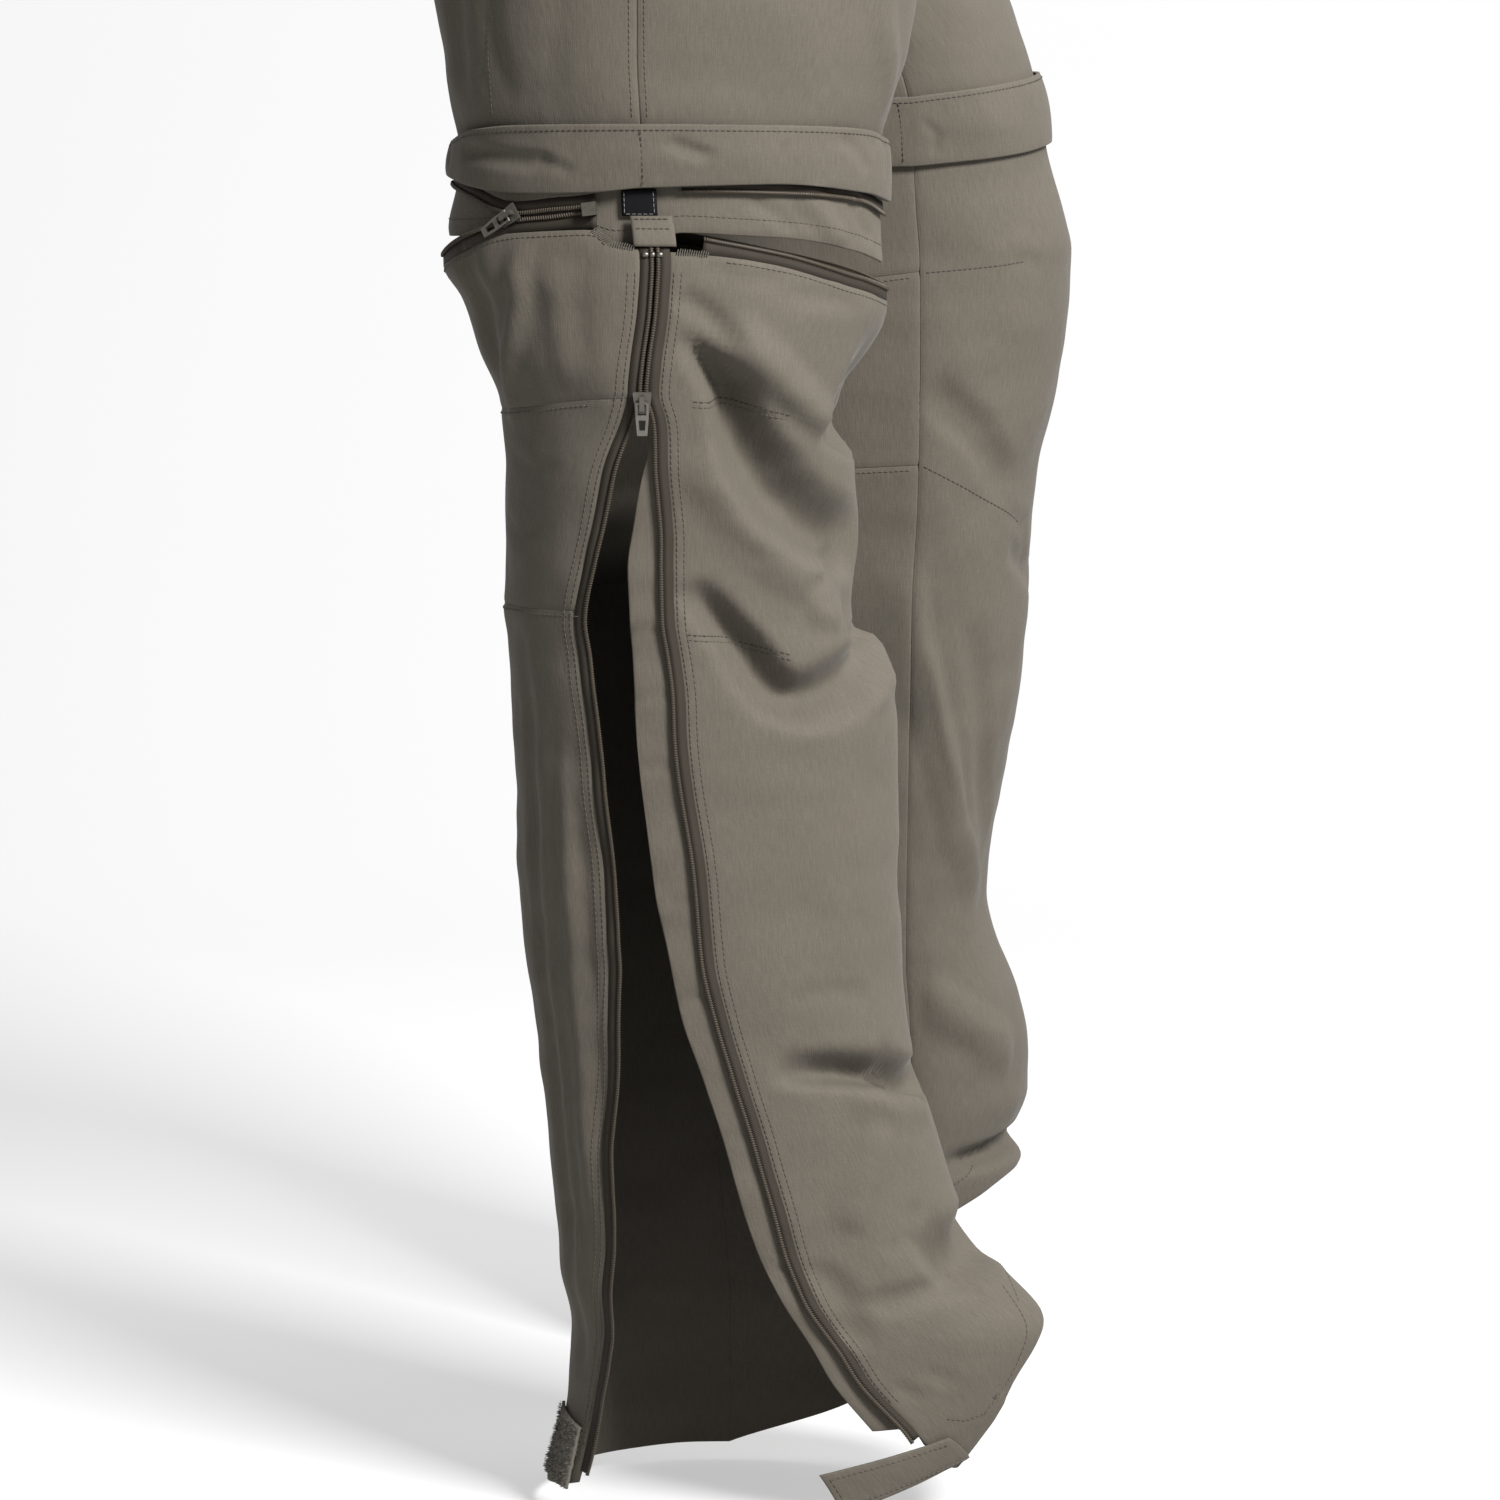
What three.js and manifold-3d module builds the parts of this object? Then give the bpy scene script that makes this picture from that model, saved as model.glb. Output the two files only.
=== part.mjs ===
// Zip-off hiking trousers as worn: the right leg's knee zip and side zip are run open, the left leg is closed.
// Millimetres. +Z is up, the front faces -Y and the wearer's left is +X.
// Heights in the tables are above the floor. The waist's centre is the origin, so all is lowered by waistHeight.
import * as THREE from "three";
import ManifoldModule from "manifold-3d";

const waistHeight = 1050;
const waistbandDepth = 40;
const clothWall = 1.6;
const doubleWall = 2.0;
const seamGap = 0.3;
const coilHalf = 1.2;
const coilSpacing = 1.35;
const tapeReach = 5.5;
const legColumns = 10;

const colours = {
  cloth: 0x80796a,
  zip: 0x4b4030,
  metal: 0x6f6a60,
  black: 0x17181a,
  fuzz: 0x6a6354,
};

// Sections of a leg. Forward distances: front, back, outseam, inseam. Sideways distances: outer, inner, crown.
// crown is the sideways place of the front's and back's middle, outseam and inseam are the side seams' forward places.
const sectionColumns = ["height", "front", "back", "outer", "inner", "crown", "outseam", "inseam"];
const pelvisSections = [
  [1052, 116, -118, 158, -158, 0, -4, -4],
  [1010, 119, -124, 165, -165, 0, -6, -6],
  [960, 121, -137, 173, -140, 22, -10, -8],
  [915, 120, -146, 179, -95, 48, -14, -10],
  [880, 118, -149, 181, -50, 68, -17, -10],
  [850, 116, -147, 181, -18, 81, -19, -10],
  [836, 115, -145, 181, -5, 86, -20, -10],
  [826, 114, -142, 180, 0.15, 89, -21, -10],
];
const rightThighSections = [
  ...pelvisSections,
  [790, 110, -134, 179, 9, 94, -23, -9],
  [750, 106, -128, 178, 18, 98, -25, -8],
  [706, 101, -122, 178, 27, 103, -27, -8],
  [683, 97, -118, 177, 32, 105, -27, -8],
  [660, 90, -115, 176, 37, 106, -26, -8],
  [640, 85, -111, 174, 41, 107, -25, -8],
  [620, 85, -114, 174, 43, 108, -24, -8],
  [600, 87, -118, 175, 45, 110, -23, -8],
  [580, 88, -118, 175, 46, 110, -23, -8],
];
const rightLowerSections = [
  [625, 85, -115, 174.4, 43, 108, -24, -8],
  [612, 86, -116.5, 175, 42, 109, -23, -8],
  [600, 88, -119, 179, 40, 110, -21, -8],
  [585, 88, -119, 182, 41, 111, -20, -8],
  [570, 88, -110, 184, 44, 112, -20, -8],
  [544, 82, -102, 185, 48, 114, -22, -8],
  [520, 75, -92, 184, 50, 116, -23, -6],
  [492, 73, -90, 183, 50, 118, -28, -4],
  [469, 74, -90, 182, 50, 119, -30, -4],
  [450, 75, -90, 182, 50, 119, -32, -4],
  [426, 78, -91, 182, 50, 120, -32.5, -4],
  [410, 84, -89, 182, 50, 121, -31, -4],
  [388, 91, -88, 183, 51, 122, -29, -3],
  [355, 93, -86, 184, 54, 123, -26, -2],
  [307, 93.5, -85, 186, 58, 126, -20, 0],
  [259, 95.5, -81, 188, 62, 129, -16, 2],
  [212, 101, -75, 190, 66, 132, -10.5, 4],
  [190, 108, -73, 191, 68, 134, -8, 6],
  [162, 117, -70, 192, 70, 136, -5, 8],
  [132, 128, -67, 194, 72, 138, 0, 10],
  [112, 143, -66, 195, 73, 139, 4, 12],
  [83, 165, -60, 197, 74, 140, 11, 14],
  [53, 158, -62, 199, 74, 140, 21, 14],
  [26, 140, -68, 200, 75, 140, 35, 14],
  [5, 128, -74, 200, 75, 140, 36, 14],
];
const leftSections = [
  ...pelvisSections,
  [790, 122, -126, 181, 8, 92, 4, 14],
  [750, 137, -102, 181, 16, 97, 18, 46],
  [706, 152, -77, 180, 25, 102, 34, 80],
  [675, 162, -60, 178, 32, 105, 46, 95],
  [650, 169, -48, 176, 37, 106, 54, 102],
  [625, 173, -38, 175, 40, 107, 60, 104],
  [600, 180, -29, 175, 42, 108, 66, 105.5],
  [575, 186, -23, 175, 44, 109, 70, 107.5],
  [550, 185, -18, 176, 45, 110, 71, 108],
  [500, 178, -8, 178, 46, 112, 72, 108],
  [449, 168, -4, 180, 48, 114, 72, 107],
  [398, 166, -6, 183, 51, 117, 70, 104.5],
  [347, 162, -10, 186, 55, 120, 66, 104],
  [295, 152, -16, 189, 59, 124, 62, 103.5],
  [243, 146, -24, 192, 64, 128, 58, 103],
  [217, 152, -27, 194, 66, 130, 56, 103],
  [190, 163, -30, 195, 68, 132, 54, 105],
  [164, 168, -33, 196, 70, 134, 52, 106],
  [138, 169, -36, 197, 71, 135, 50, 107],
  [112, 160, -38, 198, 72, 136, 48, 104],
  [101, 166, -40, 198, 73, 137, 46, 100],
  [60, 146, -43, 199, 74, 138, 42, 90],
  [25, 128, -46, 200, 75, 138, 38, 80],
];

// Creases: a path of [angle, height] places, how wide the crease is above and below it, and its depth (a ridge is minus).
const rightThighFolds = [
  { path: [[57, 740], [62, 700], [78, 655]], above: 11, below: 11, depth: -3 },
  { path: [[-62, 760], [-64, 700], [-66, 660]], above: 12, below: 12, depth: 3 },
  { path: [[30, 800], [70, 790], [100, 800]], above: 14, below: 20, depth: 3 },
  { path: [[140, 740], [150, 690], [145, 655]], above: 12, below: 12, depth: 3 },
  { path: [[40, 622], [50, 608], [55, 594]], above: 9, below: 9, depth: -2.5 },
];
const rightLowerFolds = [
  { path: [[6, 577], [13, 568], [18, 560], [23, 550]], above: 5.5, below: 7, depth: 3 },
  {
    path: [[8, 558], [13, 547], [22, 530], [26, 514], [32, 498], [41, 481], [54, 467], [70, 458], [90, 454]],
    above: 27, below: 20, depth: 15, start: 0.3,
  },
  { path: [[16, 562], [26, 549], [38, 533], [50, 520], [62, 511]], above: 13, below: 12, depth: -5 },
  { path: [[56, 513], [66, 508], [78, 504], [92, 503], [118, 512]], above: 55, below: 10, depth: 14 },
  { path: [[14, 505], [24, 485], [32, 464], [44, 448], [60, 434]], above: 15, below: 16, depth: -4 },
  { path: [[50, 438], [62, 445], [78, 452]], above: 5, below: 7, depth: 3.5 },
  {
    path: [[15, 445], [22, 430], [28, 415], [31, 401], [35, 392], [40, 389], [48, 391], [58, 396], [72, 403], [90, 410], [104, 412]],
    above: 16, below: 20, depth: 12, start: 0.5,
  },
  { path: [[60, 419], [76, 416], [92, 414], [116, 415]], above: 42, below: 6, depth: 8 },
  { path: [[48, 428], [58, 424], [70, 424]], above: 10, below: 9, depth: -3 },
  { path: [[60, 392], [78, 400], [96, 402], [112, 400]], above: 9, below: 22, depth: -4 },
  { path: [[24, 215], [32, 213], [46, 211], [62, 207], [78, 201], [100, 198]], above: 17, below: 6, depth: 11 },
  { path: [[44, 202], [62, 196], [84, 190]], above: 6, below: 14, depth: -3 },
  { path: [[54, 190], [44, 165], [34, 140]], above: 12, below: 12, depth: -3 },
  { path: [[56, 120], [68, 123], [84, 125], [110, 125]], above: 17, below: 12, depth: 14 },
  { path: [[29, 104], [40, 110], [52, 114], [72, 119]], above: 6, below: 8, depth: 4.5 },
  { path: [[24, 128], [27, 110], [25, 88]], above: 8, below: 8, depth: 3 },
  { path: [[118, 520], [140, 496], [168, 472]], above: 10, below: 18, depth: 7 },
  { path: [[112, 424], [136, 402], [166, 410]], above: 10, below: 18, depth: 7 },
  { path: [[112, 196], [138, 206], [168, 198]], above: 9, below: 16, depth: 5 },
  { path: [[-37, 600], [-41, 576], [-49, 554], [-60, 532], [-67, 512]], above: 9, below: 8, depth: -4 },
  { path: [[-60, 598], [-62, 566], [-68, 536]], above: 12, below: 12, depth: 4 },
  { path: [[-58, 420], [-60, 300], [-64, 150], [-70, 60]], above: 11, below: 11, depth: 2.5 },
  { path: [[-36, 380], [-40, 250], [-48, 130]], above: 9, below: 9, depth: -2 },
  { path: [[-110, 470], [-136, 455], [-165, 466]], above: 10, below: 14, depth: 4 },
  { path: [[-124, 380], [-130, 250], [-126, 120]], above: 13, below: 13, depth: 3 },
];
const leftFolds = [
  { path: [[178, 512], [155, 490], [132, 457]], above: 14, below: 16, depth: 4 },
  { path: [[170, 404], [168, 360], [154, 320], [128, 270], [108, 232]], above: 12, below: 12, depth: -5 },
  { path: [[150, 392], [138, 330], [116, 268]], above: 13, below: 13, depth: 5 },
  { path: [[128, 430], [106, 414], [90, 408]], above: 9, below: 12, depth: 3 },
  { path: [[172, 200], [150, 184], [120, 160]], above: 20, below: 20, depth: -4 },
  { path: [[164, 106], [150, 110], [112, 114], [80, 112]], above: 9, below: 9, depth: 7 },
  { path: [[20, 520], [44, 496], [70, 470]], above: 10, below: 18, depth: 6 },
  { path: [[14, 420], [40, 396], [72, 404]], above: 10, below: 18, depth: 6 },
  { path: [[20, 190], [46, 200], [76, 190]], above: 10, below: 16, depth: 5 },
  { path: [[24, 116], [50, 120], [72, 114]], above: 9, below: 12, depth: 5 },
  { path: [[-150, 500], [-110, 488], [-60, 496]], above: 11, below: 16, depth: 5 },
  { path: [[-140, 450], [-100, 440], [-50, 452]], above: 11, below: 14, depth: 4 },
  { path: [[-60, 380], [-64, 250], [-58, 110]], above: 13, below: 13, depth: 3 },
  { path: [[-126, 380], [-122, 260], [-130, 130]], above: 13, below: 13, depth: 3 },
  { path: [[30, 740], [60, 700], [70, 670]], above: 12, below: 12, depth: 3 },
];

// Edges of pieces as heights at angles round the leg: 0 outseam, 90 front, 180 inseam, -90 back.
const rightUpperRow = [
  [-180, 617], [-130, 621], [-90, 621], [-62, 617], [-41, 610.6], [-28, 612.8], [-15, 615], [-2, 621.5], [9, 621.5],
  [40, 619.5], [65, 615], [90, 607], [135, 611], [180, 617],
];
const rightLowerRow = [
  [-180, 593.5], [-135, 589.5], [-90, 588.5], [-62, 599], [-41, 607.6], [-28, 609.8], [-15, 612], [14, 600],
  [33, 593], [60, 581], [90, 573], [135, 581], [180, 593.5],
];
const rightTop = [
  [-180, 588], [-135, 584], [-90, 583], [-62, 593], [-41, 602], [-15, 604.4], [-11, 598.6],
  [-5, 596.4], [6, 594.5], [14, 593.2], [33, 587.5], [60, 575.5], [90, 567.5], [135, 575.5], [180, 588],
];
const rightHem = [
  [-180, 8], [-120, 8], [-90, 9], [-70, 12], [-52, 19], [0, 40], [33, 43], [45, 32],
  [57, 23], [67, 64], [78, 82], [90, 90], [104, 92], [130, 66], [155, 28], [180, 12],
];
const rightSeamHigh = [[-180, 521], [-90, 518], [-65, 520.3], [-17, 527.7], [0, 529]];
const rightSeamLow = [[-180, 428], [-90, 427], [-67, 428.7], [-19, 430.2], [0, 430.5]];
const guardHem = [
  [-180, 598], [-90, 597.5], [-40, 601], [-22, 601.5], [-14, 598.5], [-9, 596], [-3, 596.5], [3, 600], [8, 602.8],
  [23, 601.2], [40, 598.7], [59, 593],
  [90, 585], [135, 592], [180, 598],
];
const rightFlapTop = [
  [-180, 645], [-90, 641], [-62, 648], [-41, 651], [0, 652.5], [40, 651], [65, 648], [90, 641], [135, 643], [180, 645],
];
const rightFlapBottom = [
  [-180, 623.6], [-90, 624.6], [-41, 620], [-15, 621.2], [0, 623.4], [30, 624.4], [65, 618.6], [90, 612.5],
  [135, 617], [180, 623.6],
];
const leftZipLine = [[-180, 628], [-90, 624], [0, 632], [90, 638], [135, 634], [180, 628]];
const leftFlapTop = [[-180, 655], [-90, 650], [0, 658], [90, 663], [135, 660], [180, 655]];
const leftFlapBottom = [[-180, 621], [-90, 616], [0, 624], [90, 629], [135, 625.3], [180, 621]];
const leftSeamHigh = [[-180, 568.4], [-150, 561], [-90, 558], [0, 566]];
const leftSeamLow = [[-180, 472.3], [-150, 469], [-90, 466], [0, 472]];
const leftHem = [[-180, 58], [-150, 30], [-90, 12], [-40, 22], [0, 44], [40, 66], [90, 101], [120, 96], [153, 80], [180, 58]];

// The right side zip's two rows and the guard strip's free edge, as angles at heights.
const sideColumns = ["height", "frontRow", "backRow", "guardEdge"];
const sideRows = [
  [600, 0.8, 0.8, 2.4],
  [592, 0.7, 0.7, 2.4],
  [560, -0.4, -0.4, 2.4],
  [540, -1.2, -1.2, 2.4],
  [535, -1.5, -1.5, 2.4],
  [530, -1.6, -1.6, 2.4],
  [522, 0.4, -3, 2.4],
  [505, 2.9, -6.4, 2.3],
  [482, 5.4, -9.3, 1],
  [454, 7.4, -13.2, 0],
  [424, 7.8, -17.6, 0.8],
  [399, 8, -16.6, 0.4],
  [367, 7.4, -15.4, -0.5],
  [311, 8.5, -15, -0.6],
  [270, 8.8, -15.7, 1.9],
  [241, 10.7, -19.2, 3.5],
  [213, 13.2, -22.8, 6.8],
  [180, 15.7, -29.1, 9.8],
  [143, 17.4, -32.8, 11.9],
  [110, 17.7, -39, 14],
  [74, 22.2, -47.4, 18],
  [43, 33.6, -53.8, 27.3],
  [19, 45, -55.3, 38],
  [5, 50, -56, 44],
];

// Rows of points down each piece: nominal heights, fitted between the piece's own top and bottom.
const shortsHeights = [1010, 960, 915, 880, 850, 836, 826, 790, 750, 706, 683, 660, 642, 624];
const rightFrontHeights = [
  595, 582, 570, 558, 546, 535, 525, 515, 505, 495, 484, 473, 462, 450, 440, 430, 420, 410, 400, 389,
  374, 350, 320, 290, 262, 240, 226, 215, 205, 195, 180, 165, 150, 138, 128, 117, 104, 90, 76, 62, 48,
];
const leftFrontHeights = [
  625, 600, 575, 550, 530, 510, 492, 474, 456, 436, 415, 395, 370, 345, 320, 295, 270, 243, 222,
  200, 182, 164, 148, 134, 122, 113, 104, 92, 76, 60,
];

function smoothTable(rows, column) {
  // A curve through a table's values that doesn't pass beyond them between two rows.
  const order = rows.map((row) => [row[0], row[column]]).sort((a, b) => a[0] - b[0]);
  const steps = order.slice(1).map((point, i) => point[0] - order[i][0]);
  const rises = order.slice(1).map((point, i) => (point[1] - order[i][1]) / steps[i]);
  const slopes = order.map((point, i) => {
    if (i === 0) return rises[0];
    if (i === order.length - 1) return rises[i - 1];
    if (rises[i - 1] * rises[i] <= 0) return 0;
    const before = 2 * steps[i] + steps[i - 1];
    const after = steps[i] + 2 * steps[i - 1];
    return (before + after) / (before / rises[i - 1] + after / rises[i]);
  });
  return (value) => {
    const x = Math.min(Math.max(value, order[0][0]), order[order.length - 1][0]);
    let i = 0;
    while (i < order.length - 2 && x > order[i + 1][0]) i += 1;
    const t = (x - order[i][0]) / steps[i];
    const t2 = t * t;
    const t3 = t2 * t;
    return (2 * t3 - 3 * t2 + 1) * order[i][1] + (t3 - 2 * t2 + t) * steps[i] * slopes[i]
      + (3 * t2 - 2 * t3) * order[i + 1][1] + (t3 - t2) * steps[i] * slopes[i + 1];
  };
}

function namedCurves(rows, columns) {
  const curves = {};
  columns.slice(1).forEach((name, i) => {
    curves[name] = smoothTable(rows, i + 1);
  });
  return curves;
}

function makeLeg(sections, folds, side) {
  return { curves: namedCurves(sections, sectionColumns), folds, side };
}

const rightThigh = makeLeg(rightThighSections, rightThighFolds, -1);
const rightLower = makeLeg(rightLowerSections, rightLowerFolds, -1);
const leftLeg = makeLeg(leftSections, leftFolds, 1);
const sideCurves = namedCurves(sideRows, sideColumns);

function edge(table) {
  const curve = smoothTable(table, 1);
  return (angle) => curve(angle > 180 ? angle - 360 : angle);
}

function smoothPoint(leg, angle, height) {
  const curves = leg.curves;
  const cos = Math.cos((angle * Math.PI) / 180);
  const sin = Math.sin((angle * Math.PI) / 180);
  const crown = curves.crown(height);
  const seam = cos > 0 ? curves.outseam(height) : curves.inseam(height);
  const sideways = crown + cos * (cos > 0 ? curves.outer(height) - crown : crown - curves.inner(height));
  const forward = seam + sin * (sin > 0 ? curves.front(height) - seam : seam - curves.back(height));
  return new THREE.Vector3(leg.side * sideways, -forward, height);
}

function normalOf(place, leg, angle, height) {
  const round = place(leg, angle + 1, height).sub(place(leg, angle - 1, height));
  const down = place(leg, angle, height - 1.5).sub(place(leg, angle, height + 1.5));
  const normal = round.cross(down).normalize();
  return leg.side > 0 ? normal : normal.negate();
}

function creaseDepth(fold, angle, height) {
  // How far in the cloth goes at a place, from its distance to the crease's path.
  const mmPerDegree = 1.45;
  const middle = fold.path[Math.floor(fold.path.length / 2)][0];
  let at = angle;
  if (at - middle > 180) at -= 360;
  if (at - middle < -180) at += 360;
  const last = fold.path[fold.path.length - 1];
  const turn = last[0] - fold.path[0][0] < -0.4 * Math.abs(last[1] - fold.path[0][1]) ? -1 : 1;
  let total = 0;
  let best = null;
  for (let i = 0; i + 1 < fold.path.length; i += 1) {
    const ax = fold.path[i][0] * mmPerDegree;
    const ay = fold.path[i][1];
    const dx = fold.path[i + 1][0] * mmPerDegree - ax;
    const dy = fold.path[i + 1][1] - ay;
    const long = Math.hypot(dx, dy);
    const t = Math.min(1, Math.max(0, ((at * mmPerDegree - ax) * dx + (height - ay) * dy) / (long * long)));
    const px = at * mmPerDegree - ax - t * dx;
    const py = height - ay - t * dy;
    const distance = Math.hypot(px, py);
    const upper = turn * (dx * py - dy * px) > 0;
    if (!best || distance < best.distance) best = { distance, upper, along: total + t * long };
    total += long;
  }
  const start = fold.start ?? 1;
  const growth = start + (1 - start) * Math.min(1, (2 * best.along) / total);
  const width = (best.upper ? fold.above : fold.below) * growth;
  if (best.distance >= width) return 0;
  const across = 1 - (best.distance / width) ** 2;
  const ends = Math.min(1, (best.along / total) * 4, (1 - best.along / total) * 4);
  return fold.depth * across * across * ends * (2 - ends);
}

function clothPoint(leg, angle, height) {
  let depth = 0;
  for (const fold of leg.folds) depth += creaseDepth(fold, angle, height);
  const point = smoothPoint(leg, angle, height);
  if (depth === 0) return point;
  return point.addScaledVector(normalOf(smoothPoint, leg, angle, height), -depth);
}

function liftedPoint(leg, angle, height, lift) {
  return clothPoint(leg, angle, height).addScaledVector(normalOf(clothPoint, leg, angle, height), lift);
}

function angleAway(leg, angle, height, distance) {
  // The angle that is a distance along the cloth from another one.
  const start = smoothPoint(leg, angle, height);
  let away = Math.sign(distance);
  for (let turn = 0; turn < 3; turn += 1) {
    away *= Math.abs(distance) / smoothPoint(leg, angle + away, height).distanceTo(start);
  }
  return angle + away;
}

function cutAngle(leg, height) {
  // Where a leg's section meets the body's middle line, or its own inseam below the crotch.
  const crown = leg.curves.crown(height);
  const inner = leg.curves.inner(height);
  const seam = 180 - (seamGap / 2 / 75) * (180 / Math.PI);
  if (inner >= 0) return seam;
  const reach = Math.min(1, (crown - seamGap / 2) / (crown - inner));
  return Math.min(seam, 90 + (Math.asin(reach) * 180) / Math.PI);
}

const group = new THREE.Group();
group.name = "zip_off_trousers";

function addMesh(name, colour, positions, faces) {
  let volume = 0;
  const corner = (index) => positions[index];
  for (const [a, b, c] of faces) {
    volume += corner(a).dot(new THREE.Vector3().crossVectors(corner(b), corner(c)));
  }
  const geometry = new THREE.BufferGeometry();
  const flat = new Float64Array(positions.length * 3);
  positions.forEach((point, i) => {
    flat.set([point.x, point.y, point.z - waistHeight], i * 3);
  });
  geometry.setAttribute("position", new THREE.BufferAttribute(flat, 3));
  geometry.setIndex(faces.flatMap(([a, b, c]) => (volume > 0 ? [a, b, c] : [a, c, b])));
  const mesh = new THREE.Mesh(geometry, new THREE.MeshStandardMaterial({ color: colours[colour], roughness: 0.85 }));
  mesh.name = name;
  group.add(mesh);
}

function addShell(name, colour, outside, inside, ring = false) {
  // A wall between two equal grids of points. A ring's last column joins its first.
  const wide = outside.length;
  const tall = outside[0].length;
  const positions = [...outside.flat(), ...inside.flat()];
  const faces = [];
  const outer = (i, j) => (i % wide) * tall + j;
  const inner = (i, j) => wide * tall + (i % wide) * tall + j;
  const quad = (a, b, c, d) => faces.push([a, b, c], [a, c, d]);
  const last = ring ? wide : wide - 1;
  for (let i = 0; i < last; i += 1) {
    for (let j = 0; j + 1 < tall; j += 1) {
      quad(outer(i, j), outer(i + 1, j), outer(i + 1, j + 1), outer(i, j + 1));
      quad(inner(i, j + 1), inner(i + 1, j + 1), inner(i + 1, j), inner(i, j));
    }
    quad(inner(i, 0), inner(i + 1, 0), outer(i + 1, 0), outer(i, 0));
    quad(outer(i, tall - 1), outer(i + 1, tall - 1), inner(i + 1, tall - 1), inner(i, tall - 1));
  }
  if (!ring) {
    for (let j = 0; j + 1 < tall; j += 1) {
      quad(inner(0, j), outer(0, j), outer(0, j + 1), inner(0, j + 1));
      quad(outer(wide - 1, j), inner(wide - 1, j), inner(wide - 1, j + 1), outer(wide - 1, j + 1));
    }
  }
  addMesh(name, colour, positions, faces);
}

function addPiece(name, colour, columns, rows, place, lift, wall, ring = false) {
  // place(column, row) gives a leg, an angle and a height. lift may be a number or follow the place.
  const outside = [];
  const inside = [];
  for (const column of columns) {
    const outerLine = [];
    const innerLine = [];
    for (const row of rows) {
      const [leg, angle, height] = place(column, row);
      const rise = typeof lift === "number" ? lift : lift(angle, height, row);
      outerLine.push(liftedPoint(leg, angle, height, rise));
      innerLine.push(liftedPoint(leg, angle, height, rise - wall));
    }
    outside.push(outerLine);
    inside.push(innerLine);
  }
  addShell(name, colour, outside, inside, ring);
}

function addRail(name, colour, stations, section) {
  // A band along a line on a leg. section(station, tangent) gives [across, lift] corners across the line.
  const points = stations.map(({ leg, angle, height }) => clothPoint(leg, angle, height));
  const positions = [];
  let count = 0;
  stations.forEach((station, k) => {
    const normal = normalOf(clothPoint, station.leg, station.angle, station.height);
    const ahead = points[Math.min(k + 1, points.length - 1)];
    const behind = points[Math.max(k - 1, 0)];
    const tangent = ahead.clone().sub(behind).normalize();
    const across = new THREE.Vector3().crossVectors(normal, tangent).normalize();
    const corners = section(station, tangent);
    count = corners.length;
    for (const [sideways, lift] of corners) {
      positions.push(points[k].clone().addScaledVector(across, sideways).addScaledVector(normal, lift));
    }
  });
  const faces = [];
  for (let k = 0; k + 1 < stations.length; k += 1) {
    for (let i = 0; i < count; i += 1) {
      const a = k * count + i;
      const b = k * count + ((i + 1) % count);
      faces.push([a, b, b + count], [a, b + count, a + count]);
    }
  }
  const outline = section(stations[0], new THREE.Vector3(0, 0, 1)).map(([x, y]) => new THREE.Vector2(x, y));
  const base = (stations.length - 1) * count;
  for (const [a, b, c] of THREE.ShapeUtils.triangulateShape(outline, [])) {
    faces.push([c, b, a], [base + a, base + b, base + c]);
  }
  addMesh(name, colour, positions, faces);
}

function rowSection(towards, reach) {
  // A zip row: the coil, and its tape reaching towards its own panel. Corners run anticlockwise.
  const corners = [
    [-coilHalf, -1.3], [reach, -1.3], [reach, -0.3], [coilHalf, -0.3], [coilHalf, 0.9], [-coilHalf, 0.9],
  ];
  if (towards > 0) return corners;
  return corners.map(([across, lift]) => [-across, lift]).reverse();
}

function spread(count) {
  return Array.from({ length: count + 1 }, (_, i) => i / count);
}

function fitHeight(nominal, list, high, low, top, bottom) {
  // Moves a nominal height so that a list's first and last meet the piece's edges, and its middle stays as it is.
  const first = list[0];
  const last = list[list.length - 1];
  if (nominal > high) return high + ((nominal - high) / (first - high)) * (top - high);
  if (nominal < low) return low - ((low - nominal) / (low - last)) * (low - bottom);
  return nominal;
}

// The shorts: waistband, fly, front and back panels.
function shortsPanel(name, leg, front, bottom) {
  const bottomEdge = edge(bottom);
  const seam = front ? 0.5 : -0.5;
  const place = (column, nominal) => {
    let height = nominal;
    let angle = 0;
    for (let turn = 0; turn < 3; turn += 1) {
      const cut = cutAngle(leg, height);
      const start = angleAway(leg, 0, height, seam * seamGap);
      angle = front ? start + column * (cut - start) : start - column * (cut + start);
      height = fitHeight(nominal, shortsHeights, 2000, 660, 0, bottomEdge(angle));
    }
    return [leg, angle, Math.min(height, waistHeight - waistbandDepth - seamGap)];
  };
  addPiece(name, "cloth", spread(legColumns), shortsHeights, place, 0, clothWall);
}

const raised = (table, amount) => table.map(([angle, height]) => [angle, height + amount]);
shortsPanel("front_right", rightThigh, true, raised(rightUpperRow, tapeReach + seamGap + 0.1));
shortsPanel("back_right", rightThigh, false, raised(rightUpperRow, tapeReach + seamGap + 0.1));
shortsPanel("front_left", leftLeg, true, raised(leftZipLine, tapeReach + seamGap));
shortsPanel("back_left", leftLeg, false, raised(leftZipLine, tapeReach + seamGap));

const bandStations = [
  ...spread(12).map((t) => [rightThigh, 89.93 - t * 179.93, 0]),
  ...spread(12).slice(1).map((t) => [leftLeg, -90 + t * 172, 0]),
  [leftLeg, 89.93, 2.6],
  [rightThigh, 86, 3],
  [rightThigh, 80, 3],
  [rightThigh, 74.5, 3],
];
function bandShell() {
  const heights = [waistHeight, waistHeight - 20, waistHeight - waistbandDepth];
  const outside = bandStations.map(([leg, angle, lift]) => heights.map((height) => liftedPoint(leg, angle, height, lift)));
  const inside = bandStations.map(([leg, angle, lift]) => (
    heights.map((height) => liftedPoint(leg, angle, height, lift - doubleWall))
  ));
  addShell("waistband", "cloth", outside, inside);
}
bandShell();

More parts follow.
